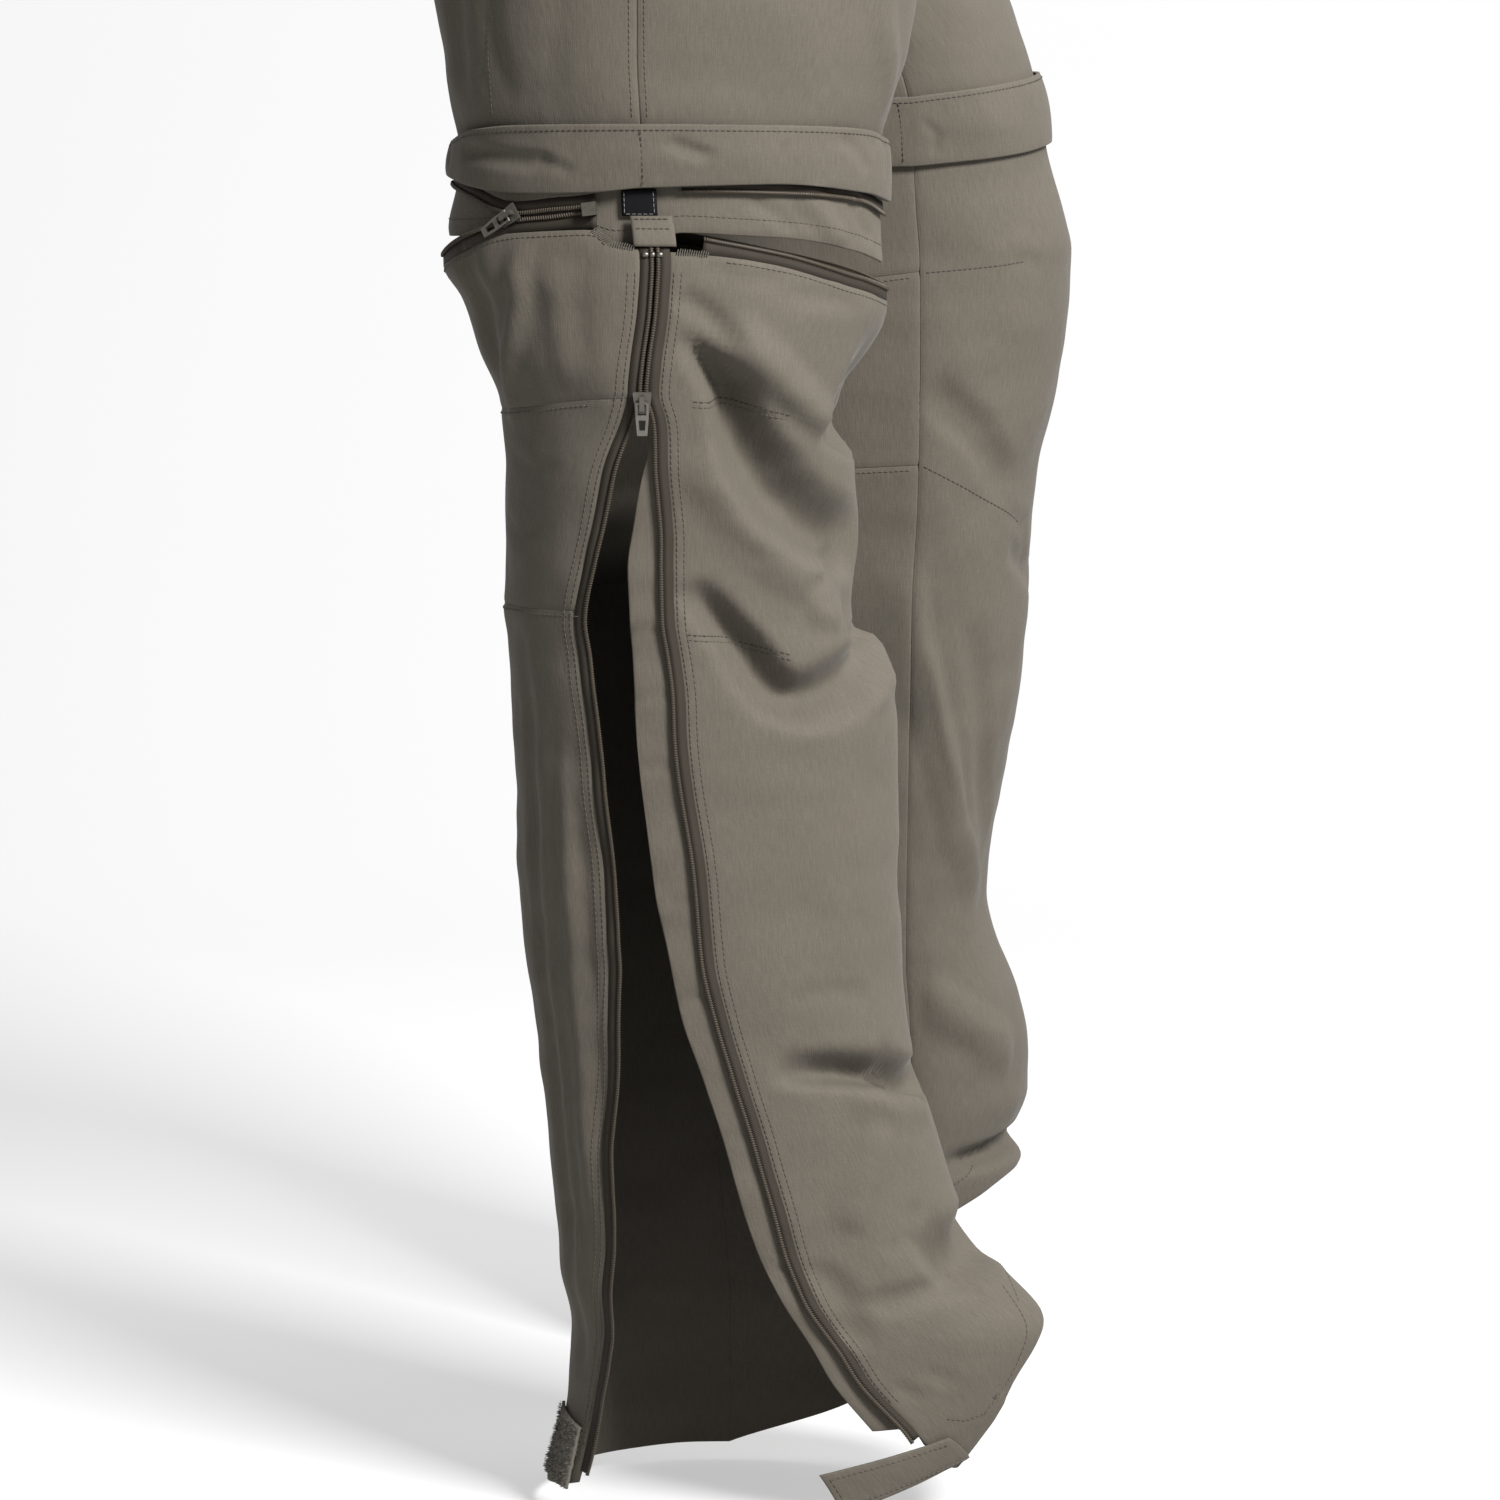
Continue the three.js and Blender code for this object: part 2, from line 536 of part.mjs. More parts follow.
function frontPlace(x, height) {
  // The place on the front panels that is a distance x to the left of the middle line.
  const leg = x < 0 ? rightThigh : leftLeg;
  const crown = leg.curves.crown(height);
  const sideways = Math.max(Math.abs(x), seamGap / 2);
  const outward = sideways > crown ? leg.curves.outer(height) - crown : crown - leg.curves.inner(height);
  return [leg, (Math.acos((sideways - crown) / outward) * 180) / Math.PI, height];
}

const flyRows = [1009, 990, 970, 950, 930, 912, 898];
addPiece("fly_flap", "cloth", [-9, -3, 4, 12, 20, 28, 36], flyRows, (x, height) => {
  const low = Math.max(0, (930 - height) / 32);
  return frontPlace(x - (x > 0 ? x * 0.62 * low * low : 0), height);
}, (angle, height) => 2.1 + (height < 930 ? (930 - height) * 0.03 : 0), clothWall);

const manifold = await ManifoldModule();
manifold.setup();
const { Manifold } = manifold;

function frameAt(leg, angle, height, lift, direction) {
  // Axes at a place on the cloth: x across, y along the direction and z outwards.
  const normal = normalOf(clothPoint, leg, angle, height);
  const along = direction.clone().addScaledVector(normal, -direction.dot(normal)).normalize();
  const across = new THREE.Vector3().crossVectors(along, normal);
  const origin = liftedPoint(leg, angle, height, lift);
  return new THREE.Matrix4().makeBasis(across, along, normal).setPosition(origin);
}

function addSolid(name, colour, solid, frame) {
  const mesh = solid.getMesh();
  const positions = [];
  for (let i = 0; i < mesh.vertProperties.length; i += mesh.numProp) {
    const point = new THREE.Vector3(...mesh.vertProperties.slice(i, i + 3));
    positions.push(point.applyMatrix4(frame));
  }
  const faces = [];
  for (let i = 0; i < mesh.triVerts.length; i += 3) faces.push([...mesh.triVerts.slice(i, i + 3)]);
  addMesh(name, colour, positions, faces);
}

const block = (wide, long, tall, x, y, z) => Manifold.cube([wide, long, tall], true).translate([x, y, z]);

function sliderSolid() {
  // A plate over the coils, wider where the rows part, with a bridge for the pull tab.
  const plate = Manifold.hull([block(6.4, 1, 1.4, 0, 4.4, 2.3), block(8.4, 1.4, 1.4, 0, -4.2, 2.3)]);
  const posts = block(2.2, 1.1, 3.2, 0, 2.7, 4.1).add(block(2.2, 1.1, 3.2, 0, -2.7, 4.1));
  return Manifold.union([plate, posts, block(2.2, 6.5, 1.1, 0, 0, 5.9)]);
}

const pullLong = 15;
const pullPivot = 4.1;
function pullSolid() {
  // A flat tab with a slot, whose end bar goes through the slider's bridge.
  const bar = Manifold.cylinder(5.9, 0.7, 0.7, 12, true).rotate([0, 90, 0]);
  const arms = block(1, 6.6, 1.1, -2.5, 3, 0).add(block(1, 6.6, 1.1, 2.5, 3, 0));
  const tab = Manifold.hull([block(6, 1.2, 1.1, 0, 6, 0), block(4.6, 1, 1.1, 0, pullLong - 0.7, 0)]);
  const slot = Manifold.hull([block(3.2, 0.6, 4, 0, 8, 0), block(2.6, 0.6, 4, 0, pullLong - 3, 0)]);
  return Manifold.union([bar, arms, tab]).subtract(slot);
}

function addSliderAndPull(suffix, leg, angle, height, direction) {
  const rise = suffix === "knee_right" ? 0.3 : 0;
  addSolid(suffix.replace("_", "_slider_"), "metal", sliderSolid(), frameAt(leg, angle, height, rise, direction));
  addSolid(suffix.replace("_", "_pull_"), "metal", pullSolid(), frameAt(leg, angle, height, pullPivot + rise, direction));
}

// Right leg: what hangs below the shorts' flap.
const guardHemEdge = edge(guardHem);
const ringColumns = (count) => spread(count).slice(0, count).map((t) => -180 + 360 * t);
addPiece("hem_guard_right", "cloth", ringColumns(2 * legColumns), spread(4), (angle, t) => (
  [rightThigh, angle, 646 + t * (guardHemEdge(angle) - 646)]
), -2.3, 1.2, true);

const upperRow = edge(rightUpperRow);
const lowerRow = edge(rightLowerRow);
const rowAngles = [9, ...spread(2 * legColumns).slice(1, 2 * legColumns).map((t) => 360 * t), 346];
const upperStations = rowAngles.map((angle) => ({ leg: rightThigh, angle, height: upperRow(angle) }));
addRail("knee_zip_upper_right", "zip", upperStations, () => rowSection(1, tapeReach));
const topEdge = edge(rightTop);
const lowerStations = rowAngles.slice(1).map((angle) => ({ leg: rightLower, angle, height: lowerRow(angle) }));
addRail("knee_zip_lower_right", "zip", lowerStations, ({ angle, height }, tangent) => (
  rowSection(-1, (height - topEdge(angle)) * Math.hypot(tangent.x, tangent.y) - seamGap - 0.35)
));

const down = new THREE.Vector3(0, 0, -1);
const kneeTravel = new THREE.Vector3(0, 0.88, -0.47);
addSliderAndPull("knee_right", rightThigh, -41, 609.2, kneeTravel);
addSolid("knee_zip_box_right", "metal", block(6, 6.5, 2.6, 0, 0, 1.3), frameAt(rightThigh, -15.5, 613.6, 2, new THREE.Vector3(0, 1, -0.12)));

const flapRows = [0, 0.3, 0.65, 1];
function flap(name, leg, topTable, bottomTable, bulge) {
  const top = edge(topTable);
  const bottom = edge(bottomTable);
  addPiece(name, "cloth", ringColumns(2 * legColumns), flapRows, (angle, t) => (
    [leg, angle, top(angle) + t * (bottom(angle) - top(angle))]
  ), (angle, height, t) => 2.8 + bulge * Math.sin(Math.PI * (0.15 + 0.7 * t)), doubleWall, true);
}
flap("cuff_flap_right", rightThigh, rightFlapTop, rightFlapBottom, 2.2);
flap("cuff_flap_left", leftLeg, leftFlapTop, leftFlapBottom, 1.6);

addPiece("black_tab_right", "black", [-6.6, -1.8, 3], [622.6, 616.5, 610.6], (angle, height) => [rightThigh, angle, height],
  0.4, 1.6);

// Right lower leg: a front panel and three back pieces, open between the side zip's rows.
const hemEdge = edge(rightHem);
const frontEdgeAngle = (height) => (
  angleAway(rightLower, sideCurves.frontRow(height), height, coilSpacing + tapeReach + seamGap)
);
const backEdgeAngle = (height) => (
  angleAway(rightLower, sideCurves.backRow(height) - 0.01, height, -coilSpacing - tapeReach - seamGap)
);
const inseamAngle = 180 - 0.12;

function frontRightPlace(column, nominal) {
  let height = nominal;
  let angle = 30;
  for (let turn = 0; turn < 5; turn += 1) {
    const start = frontEdgeAngle(height);
    angle = start + column * (inseamAngle - start);
    height = fitHeight(nominal, rightFrontHeights, 546, 138, topEdge(angle), hemEdge(angle));
  }
  return [rightLower, angle, height];
}
const frontColumns = [0, 0.075, 0.155, 0.24, 0.32, 0.4, 0.48, 0.56, 0.65, 0.74, 0.83, 0.92, 1];
addPiece("lower_front_right", "cloth", frontColumns, rightFrontHeights, frontRightPlace, 0, clothWall);

function backPiece(name, leg, heights, high, low, topOf, bottomOf, startOf) {
  // A back piece between the outseam side and the inseam. Returns the heights along its outseam edge.
  const place = (column, nominal) => {
    let angle = -30;
    let height = nominal;
    for (let turn = 0; turn < 5; turn += 1) {
      const start = startOf(height);
      angle = start - column * (inseamAngle + start);
      height = fitHeight(nominal, heights, high, low, topOf(angle), bottomOf(angle));
    }
    return [leg, angle, height];
  };
  addPiece(name, "cloth", spread(10), heights, place, 0, clothWall);
  return heights.map((nominal) => place(0, nominal)[2]);
}
const below = (table) => edge(raised(table, -seamGap));
const rightTopHeights = [...rightFrontHeights.filter((height) => height > 532), 527];
const rightKneeHeights = [527, ...rightFrontHeights.filter((height) => height < 520 && height > 435), 431];
const rightBackHeights = [431, ...rightFrontHeights.filter((height) => height < 415)];
const backEdgeHeights = [
  ...backPiece("lower_back_top_right", rightLower, rightTopHeights, 558, 546, topEdge, edge(rightSeamHigh), backEdgeAngle),
  ...backPiece("lower_back_knee_right", rightLower, rightKneeHeights, 505, 450, below(rightSeamHigh),
    edge(rightSeamLow), backEdgeAngle).slice(1),
  ...backPiece("lower_back_bottom_right", rightLower, rightBackHeights, 400, 138, below(rightSeamLow), hemEdge,
    backEdgeAngle).slice(1),
];

const sideTop = 591;
const sideReach = (tangent) => (tapeReach + seamGap) * Math.abs(tangent.z) - seamGap - 0.05;
const frontEdgeHeights = rightFrontHeights.map((nominal) => frontRightPlace(0, nominal)[2]);
addRail("side_zip_front_right", "zip", [sideTop, ...frontEdgeHeights.filter((height) => height < sideTop - 3)].map((height) => (
  { leg: rightLower, height, angle: angleAway(rightLower, sideCurves.frontRow(height), height, coilSpacing) }
)), (station, tangent) => rowSection(1, sideReach(tangent)));
addRail("side_zip_back_right", "zip", [sideTop, ...backEdgeHeights.filter((height) => height < sideTop - 3)].map((height) => (
  { leg: rightLower, height, angle: angleAway(rightLower, sideCurves.backRow(height) - 0.01, height, -coilSpacing) }
)), (station, tangent) => rowSection(-1, sideReach(tangent)));

const placketHeights = rightFrontHeights.filter((height) => height < 508 && height > 44);
addPiece("placket_right", "cloth", [0, 0.35, 0.7, 1], placketHeights, (column, height) => {
  const start = angleAway(rightLower, sideCurves.frontRow(height), height, 9);
  return [rightLower, start + column * (sideCurves.guardEdge(height) - start), height];
}, (angle, height) => -2.8 - (height < 110 ? (110 - height) * 0.02 : 0), 1.2);

addSliderAndPull("side_right", rightLower, -1.7, 527, down);
addPiece("top_tab_right", "cloth", [-4.6, 0.8, 6], [610.6, 604, 597], (angle, height) => [rightLower, angle, height], 1.6, 1.2);

// The strap at the front hem, loose, and the patch it would stick to at the back.
function between(corners, column, t) {
  // A place inside four [angle, height] corners: start upper, start lower, end upper, end lower.
  const mix = (i) => (
    (corners[0][i] * (1 - t) + corners[1][i] * t) * (1 - column) + (corners[2][i] * (1 - t) + corners[3][i] * t) * column
  );
  return [mix(0), mix(1)];
}
const strapCorners = [[46, 41], [58.5, 29], [11.5, 28], [19, 9]];
addPiece("hem_tab_right", "cloth", spread(5), spread(3), (column, t) => (
  [rightLower, ...between(strapCorners, column, t)]
), (angle) => 2.3 + Math.min(0.9, Math.max(0, (50 - angle) * 0.1)), 1.8);

const patchPlace = (column, t) => [rightLower, -88 + column * 24, 47 - column * 6 + t * (column * 2 - 32)];
addPiece("loop_patch_right", "fuzz", spread(3), spread(3), patchPlace, 2.6, 1.8);

// Left lower leg, closed.
const leftZip = edge(leftZipLine);
addRail("knee_zip_left", "zip", [...ringColumns(2 * legColumns), 180].map((angle) => (
  { leg: leftLeg, angle: angle === 180 ? 179.6 : angle, height: leftZip(angle) }
)), () => [[-tapeReach, -1.3], [tapeReach, -1.3], [tapeReach, -0.3], [1.8, -0.3], [1.8, 0.6], [-1.8, 0.6], [-1.8, -0.3],
  [-tapeReach, -0.3]]);

const leftTop = edge(raised(leftZipLine, -tapeReach - seamGap));
const leftHemEdge = edge(leftHem);
const sideGap = 2 * coilSpacing + tapeReach + seamGap;
function leftFrontPlace(column, nominal) {
  let height = nominal;
  let angle = 30;
  for (let turn = 0; turn < 4; turn += 1) {
    const start = angleAway(leftLeg, 0, height, sideGap);
    angle = start + column * (inseamAngle - start);
    height = fitHeight(nominal, leftFrontHeights, 575, 148, leftTop(angle), leftHemEdge(angle));
  }
  return [leftLeg, angle, height];
}
addPiece("lower_front_left", "cloth", spread(legColumns), leftFrontHeights, leftFrontPlace, 0, clothWall);

const leftStart = (height) => angleAway(leftLeg, -0.01, height, -sideGap);
const leftTopHeights = [...leftFrontHeights.filter((height) => height > 570), 566];
const leftKneeHeights = [566, ...leftFrontHeights.filter((height) => height < 560 && height > 480), 472];
const leftBackHeights = [472, ...leftFrontHeights.filter((height) => height < 460)];
backPiece("lower_back_top_left", leftLeg, leftTopHeights, 600, 600, leftTop, edge(leftSeamHigh), leftStart);
backPiece("lower_back_knee_left", leftLeg, leftKneeHeights, 550, 492, below(leftSeamHigh), edge(leftSeamLow), leftStart);
backPiece("lower_back_bottom_left", leftLeg, leftBackHeights, 456, 148, below(leftSeamLow), leftHemEdge, leftStart);

const leftSideHeights = leftFrontHeights.map((nominal, i) => leftFrontPlace(0, nominal)[2] - (i === 0 ? 1.8 : 0));
addRail("side_zip_left", "zip", leftSideHeights.map((height) => ({ leg: leftLeg, height, angle: 0 })), () => {
  const reach = sideGap - seamGap - 0.1;
  return [[-reach, -1.3], [reach, -1.3], [reach, -0.3], [2.5, -0.3], [2.5, 0.9], [-2.5, 0.9], [-2.5, -0.3], [-reach, -0.3]];
});
addSliderAndPull("side_left", leftLeg, 0, 66, down);
addPiece("hem_tab_left", "cloth", spread(5), spread(2), (column, t) => [leftLeg, -26 + column * 14, 56 - column * 4 - t * 24],
  2.4, 1.8);

const buttonFrame = frameAt(rightThigh, 80, waistHeight - 20, 3.4, down);
addSolid("waist_button", "metal", Manifold.cylinder(2.6, 8.5, 8, 24, false), buttonFrame);

export default group;
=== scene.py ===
"""Zip-off hiking trousers as worn: cloth, folds, seams, stitching, zips and tabs, then light and camera."""

import math
import random

import bpy
import numpy as np
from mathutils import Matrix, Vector


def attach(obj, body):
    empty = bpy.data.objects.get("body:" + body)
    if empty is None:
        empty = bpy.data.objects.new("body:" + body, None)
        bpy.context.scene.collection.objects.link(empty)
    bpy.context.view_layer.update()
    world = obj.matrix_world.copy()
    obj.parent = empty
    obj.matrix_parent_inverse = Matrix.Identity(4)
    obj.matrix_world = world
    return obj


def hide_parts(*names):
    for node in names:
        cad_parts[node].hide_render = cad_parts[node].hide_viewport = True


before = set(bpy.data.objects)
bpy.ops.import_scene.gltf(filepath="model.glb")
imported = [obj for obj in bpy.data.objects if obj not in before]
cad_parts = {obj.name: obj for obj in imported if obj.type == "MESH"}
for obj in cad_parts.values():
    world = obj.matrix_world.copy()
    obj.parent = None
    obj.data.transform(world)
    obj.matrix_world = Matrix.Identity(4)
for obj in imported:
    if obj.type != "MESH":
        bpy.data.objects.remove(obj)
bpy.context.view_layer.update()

# The tables are in millimetres, with heights above the floor as worn. The origin is the waist's middle.
WAIST_HEIGHT = 1050
WAISTBAND_DEPTH = 40
CLOTH_WALL = 1.6
DOUBLE_WALL = 2.0
SEAM_GAP = 0.3
LAP = 0.1
COIL_HALF = 1.2
COIL_SPACING = 1.35
TAPE_REACH = 5.5
MM_PER_DEGREE = 1.45
INSEAM_ANGLE = 180.05
THIGH_RADIUS = 75
SIDE_GAP = 2 * COIL_SPACING + TAPE_REACH + SEAM_GAP
EDGE_ROLL = 0.5
EDGE_ROLL_WIDTH = 1.5
BODY = "trousers"

# Sections of a leg. front, back, outseam and inseam are forward places, outer, inner and crown sideways ones.
# crown is where the front's and the back's middle is, and outseam and inseam are where the side seams are.
SECTION_COLUMNS = ["height", "front", "back", "outer", "inner", "crown", "outseam", "inseam"]
PELVIS_SECTIONS = [
    [1052, 116, -118, 158, -158, 0, -4, -4],
    [1010, 119, -124, 165, -165, 0, -6, -6],
    [960, 121, -137, 173, -140, 22, -10, -8],
    [915, 120, -146, 179, -95, 48, -14, -10],
    [880, 118, -149, 181, -50, 68, -17, -10],
    [850, 116, -147, 181, -18, 81, -19, -10],
    [836, 115, -145, 181, -5, 86, -20, -10],
    [826, 114, -142, 180, 0.15, 89, -21, -10],
]
RIGHT_THIGH_SECTIONS = [
    *PELVIS_SECTIONS,
    [790, 110, -134, 179, 9, 94, -23, -9],
    [750, 106, -128, 178, 18, 98, -25, -8],
    [706, 101, -122, 178, 27, 103, -27, -8],
    [683, 97, -118, 177, 32, 105, -27, -8],
    [660, 90, -115, 176, 37, 106, -26, -8],
    [640, 85, -111, 174, 41, 107, -25, -8],
    [620, 85, -114, 174, 43, 108, -24, -8],
    [600, 87, -118, 175, 45, 110, -23, -8],
    [580, 88, -118, 175, 46, 110, -23, -8],
]
RIGHT_LOWER_SECTIONS = [
    [625, 85, -115, 174.4, 43, 108, -24, -8],
    [612, 86, -116.5, 175, 42, 109, -23, -8],
    [600, 88, -119, 179, 40, 110, -21, -8],
    [585, 88, -119, 182, 41, 111, -20, -8],
    [570, 88, -110, 184, 44, 112, -20, -8],
    [544, 82, -102, 185, 48, 114, -22, -8],
    [520, 75, -92, 184, 50, 116, -23, -6],
    [492, 73, -90, 183, 50, 118, -28, -4],
    [469, 74, -90, 182, 50, 119, -30, -4],
    [450, 75, -90, 182, 50, 119, -32, -4],
    [426, 78, -91, 182, 50, 120, -32.5, -4],
    [410, 84, -89, 182, 50, 121, -31, -4],
    [388, 91, -88, 183, 51, 122, -29, -3],
    [355, 93, -86, 184, 54, 123, -26, -2],
    [307, 93.5, -85, 186, 58, 126, -20, 0],
    [259, 95.5, -81, 188, 62, 129, -16, 2],
    [212, 101, -75, 190, 66, 132, -10.5, 4],
    [190, 108, -73, 191, 68, 134, -8, 6],
    [162, 117, -70, 192, 70, 136, -5, 8],
    [132, 128, -67, 194, 72, 138, 0, 10],
    [112, 143, -66, 195, 73, 139, 4, 12],
    [83, 165, -60, 197, 74, 140, 11, 14],
    [53, 158, -62, 199, 74, 140, 21, 14],
    [26, 140, -68, 200, 75, 140, 35, 14],
    [5, 128, -74, 200, 75, 140, 36, 14],
]
LEFT_SECTIONS = [
    *PELVIS_SECTIONS,
    [790, 122, -126, 181, 8, 92, 4, 14],
    [750, 137, -102, 181, 16, 97, 18, 46],
    [706, 152, -77, 180, 25, 102, 34, 80],
    [675, 162, -60, 178, 32, 105, 46, 95],
    [650, 169, -48, 176, 37, 106, 54, 102],
    [625, 173, -38, 175, 40, 107, 60, 104],
    [600, 180, -29, 175, 42, 108, 66, 105.5],
    [575, 186, -23, 175, 44, 109, 70, 107.5],
    [550, 185, -18, 176, 45, 110, 71, 108],
    [500, 178, -8, 178, 46, 112, 72, 108],
    [449, 168, -4, 180, 48, 114, 72, 107],
    [398, 166, -6, 183, 51, 117, 70, 104.5],
    [347, 162, -10, 186, 55, 120, 66, 104],
    [295, 152, -16, 189, 59, 124, 62, 103.5],
    [243, 146, -24, 192, 64, 128, 58, 103],
    [217, 152, -27, 194, 66, 130, 56, 103],
    [190, 163, -30, 195, 68, 132, 54, 105],
    [164, 168, -33, 196, 70, 134, 52, 106],
    [138, 169, -36, 197, 71, 135, 50, 107],
    [112, 160, -38, 198, 72, 136, 48, 104],
    [101, 166, -40, 198, 73, 137, 46, 100],
    [60, 146, -43, 199, 74, 138, 42, 90],
    [25, 128, -46, 200, 75, 138, 38, 80],
]

# Creases: a path of [angle, height] places, the crease's width above and below it, and its depth, which is
# minus for a ridge. A fifth value is the share of the width that the crease starts with.
RIGHT_THIGH_FOLDS = [
    ([[57, 740], [62, 700], [78, 655]], 11, 11, -3),
    ([[-62, 760], [-64, 700], [-66, 660]], 12, 12, 3),
    ([[30, 800], [70, 790], [100, 800]], 14, 20, 3),
    ([[140, 740], [150, 690], [145, 655]], 12, 12, 3),
    ([[40, 622], [50, 608], [55, 594]], 9, 9, -2.5),
]
RIGHT_LOWER_FOLDS = [
    ([[6, 577], [13, 568], [18, 560], [23, 550]], 5.5, 7, 3),
    ([[8, 558], [13, 547], [22, 530], [26, 514], [32, 498], [41, 481], [54, 467], [70, 458], [90, 454]],
      24, 20, 18, 0.18),
    ([[16, 562], [26, 549], [38, 533], [50, 520], [62, 511]], 13, 10, -6),
    ([[56, 513], [66, 508], [78, 504], [92, 503], [118, 512]], 55, 10, 14),
    ([[14, 505], [24, 485], [32, 464], [44, 448], [60, 434]], 15, 16, -4),
    ([[50, 438], [62, 445], [78, 452]], 5, 7, 3.5),
    ([[15, 445], [22, 430], [28, 415], [31, 401], [35, 392], [40, 389], [48, 391], [58, 396], [72, 403],
      [90, 410], [104, 412]], 15, 20, 14.5, 0.5),
    ([[60, 419], [76, 416], [92, 414], [116, 415]], 42, 6, 8),
    ([[48, 428], [58, 424], [70, 424]], 10, 9, -3),
    ([[60, 392], [78, 400], [96, 402], [112, 400]], 9, 22, -4),
    ([[24, 215], [32, 213], [46, 211], [62, 207], [78, 201], [100, 198]], 15, 6, 12.5),
    ([[44, 202], [62, 196], [84, 190]], 6, 14, -3),
    ([[54, 190], [44, 165], [34, 140]], 12, 12, -3),
    ([[50, 119], [66, 122], [84, 125], [110, 125]], 20, 14, 13),
    ([[29, 104], [40, 109], [52, 112], [66, 113]], 7, 9, 3.5),
    ([[24, 128], [27, 110], [25, 88]], 8, 8, 3),
    ([[118, 520], [140, 496], [168, 472]], 10, 18, 7),
    ([[112, 424], [136, 402], [166, 410]], 10, 18, 7),
    ([[112, 196], [138, 206], [168, 198]], 9, 16, 5),
    ([[-37, 600], [-41, 576], [-49, 554], [-60, 532], [-67, 512]], 9, 8, -4),
    ([[-60, 598], [-62, 566], [-68, 536]], 12, 12, 4),
    ([[-58, 420], [-60, 300], [-64, 150], [-70, 60]], 11, 11, 2.5),
    ([[-36, 380], [-40, 250], [-48, 130]], 9, 9, -2),
    ([[-110, 470], [-136, 455], [-165, 466]], 10, 14, 4),
    ([[-124, 380], [-130, 250], [-126, 120]], 13, 13, 3),
]
LEFT_FOLDS = [
    ([[178, 512], [155, 490], [132, 457]], 14, 16, 4),
    ([[178, 424], [175, 384], [167, 353], [146, 290], [116, 244]], 26, 9, -4.5),
    ([[150, 392], [138, 330], [116, 268]], 15, 15, 3),
    ([[128, 430], [106, 414], [90, 408]], 9, 12, 3),
    ([[172, 200], [150, 184], [120, 160]], 20, 20, -4),
    ([[164, 106], [150, 110], [112, 114], [80, 112]], 9, 9, 7),
    ([[20, 520], [44, 496], [70, 470]], 10, 18, 6),
    ([[14, 420], [40, 396], [72, 404]], 10, 18, 6),
    ([[20, 190], [46, 200], [76, 190]], 10, 16, 5),
    ([[24, 116], [50, 120], [72, 114]], 9, 12, 5),
    ([[-150, 500], [-110, 488], [-60, 496]], 11, 16, 5),
    ([[-140, 450], [-100, 440], [-50, 452]], 11, 14, 4),
    ([[-60, 380], [-64, 250], [-58, 110]], 13, 13, 3),
    ([[-126, 380], [-122, 260], [-130, 130]], 13, 13, 3),
    ([[30, 740], [60, 700], [70, 670]], 12, 12, 3),
]

# Edges of pieces as heights at angles round the leg: 0 outseam, 90 front, 180 inseam, -90 back.
RIGHT_UPPER_ROW = [
    [-180, 617], [-130, 621], [-90, 621], [-62, 617], [-41, 610.6], [-28, 612.8], [-15, 615], [-2, 621.5],
    [9, 621.5], [40, 619.5], [65, 615], [90, 607], [135, 611], [180, 617],
]
RIGHT_LOWER_ROW = [
    [-180, 593.5], [-135, 589.5], [-90, 588.5], [-62, 599], [-41, 607.6], [-28, 609.8], [-15, 612],
    [14, 600], [33, 593], [60, 581], [90, 573], [135, 581], [180, 593.5],
]
RIGHT_TOP = [
    [-180, 588], [-135, 584], [-90, 583], [-62, 593], [-41, 602], [-15, 604.4], [-11, 598.6],
    [-5, 596.4], [6, 594.5], [14, 593.2], [33, 587.5], [60, 575.5], [90, 567.5], [135, 575.5], [180, 588],
]
RIGHT_HEM = [
    [-180, 8], [-120, 8], [-90, 9], [-70, 12], [-52, 19], [0, 40], [33, 43], [45, 32],
    [57, 23], [67, 64], [78, 82], [90, 90], [104, 92], [130, 66], [155, 27], [180, 8],
]
RIGHT_SEAM_HIGH = [[-180, 521], [-90, 518], [-65, 520.3], [-17, 527.7], [0, 529]]
RIGHT_SEAM_LOW = [[-180, 428], [-90, 427], [-67, 428.7], [-19, 430.2], [0, 430.5]]
GUARD_HEM = [
    [-180, 598], [-90, 597.5], [-40, 601], [-22, 601.5], [-14, 598.5], [-9, 596], [-3, 596.5], [3, 600],
    [8, 602.8], [23, 601.2], [40, 598.7], [59, 593], [90, 585], [135, 592], [180, 598],
]
RIGHT_FLAP_TOP = [
    [-180, 645], [-90, 641], [-62, 648], [-41, 651], [0, 652.5], [40, 651], [65, 648], [90, 641], [135, 643],
    [180, 645],
]
RIGHT_FLAP_BOTTOM = [
    [-180, 623.6], [-90, 624.6], [-41, 620], [-15, 621.2], [0, 623.4], [30, 624.4], [65, 618.6], [90, 612.5],
    [135, 617], [180, 623.6],
]
LEFT_ZIP_LINE = [[-180, 628], [-90, 624], [0, 632], [90, 638], [135, 634], [180, 628]]
LEFT_FLAP_TOP = [[-180, 655], [-90, 650], [0, 658], [90, 663], [135, 660], [180, 655]]
LEFT_FLAP_BOTTOM = [[-180, 621], [-90, 616], [0, 624], [90, 629], [135, 625.3], [180, 621]]
LEFT_SEAM_HIGH = [[-180, 568.4], [-150, 561], [-90, 558], [0, 566]]
LEFT_SEAM_LOW = [[-180, 472.3], [-150, 469], [-90, 466], [0, 472]]
LEFT_HEM = [
    [-180, 58], [-150, 30], [-90, 12], [-40, 22], [0, 44], [40, 66], [90, 101], [120, 96], [153, 80],
    [180, 58],
]

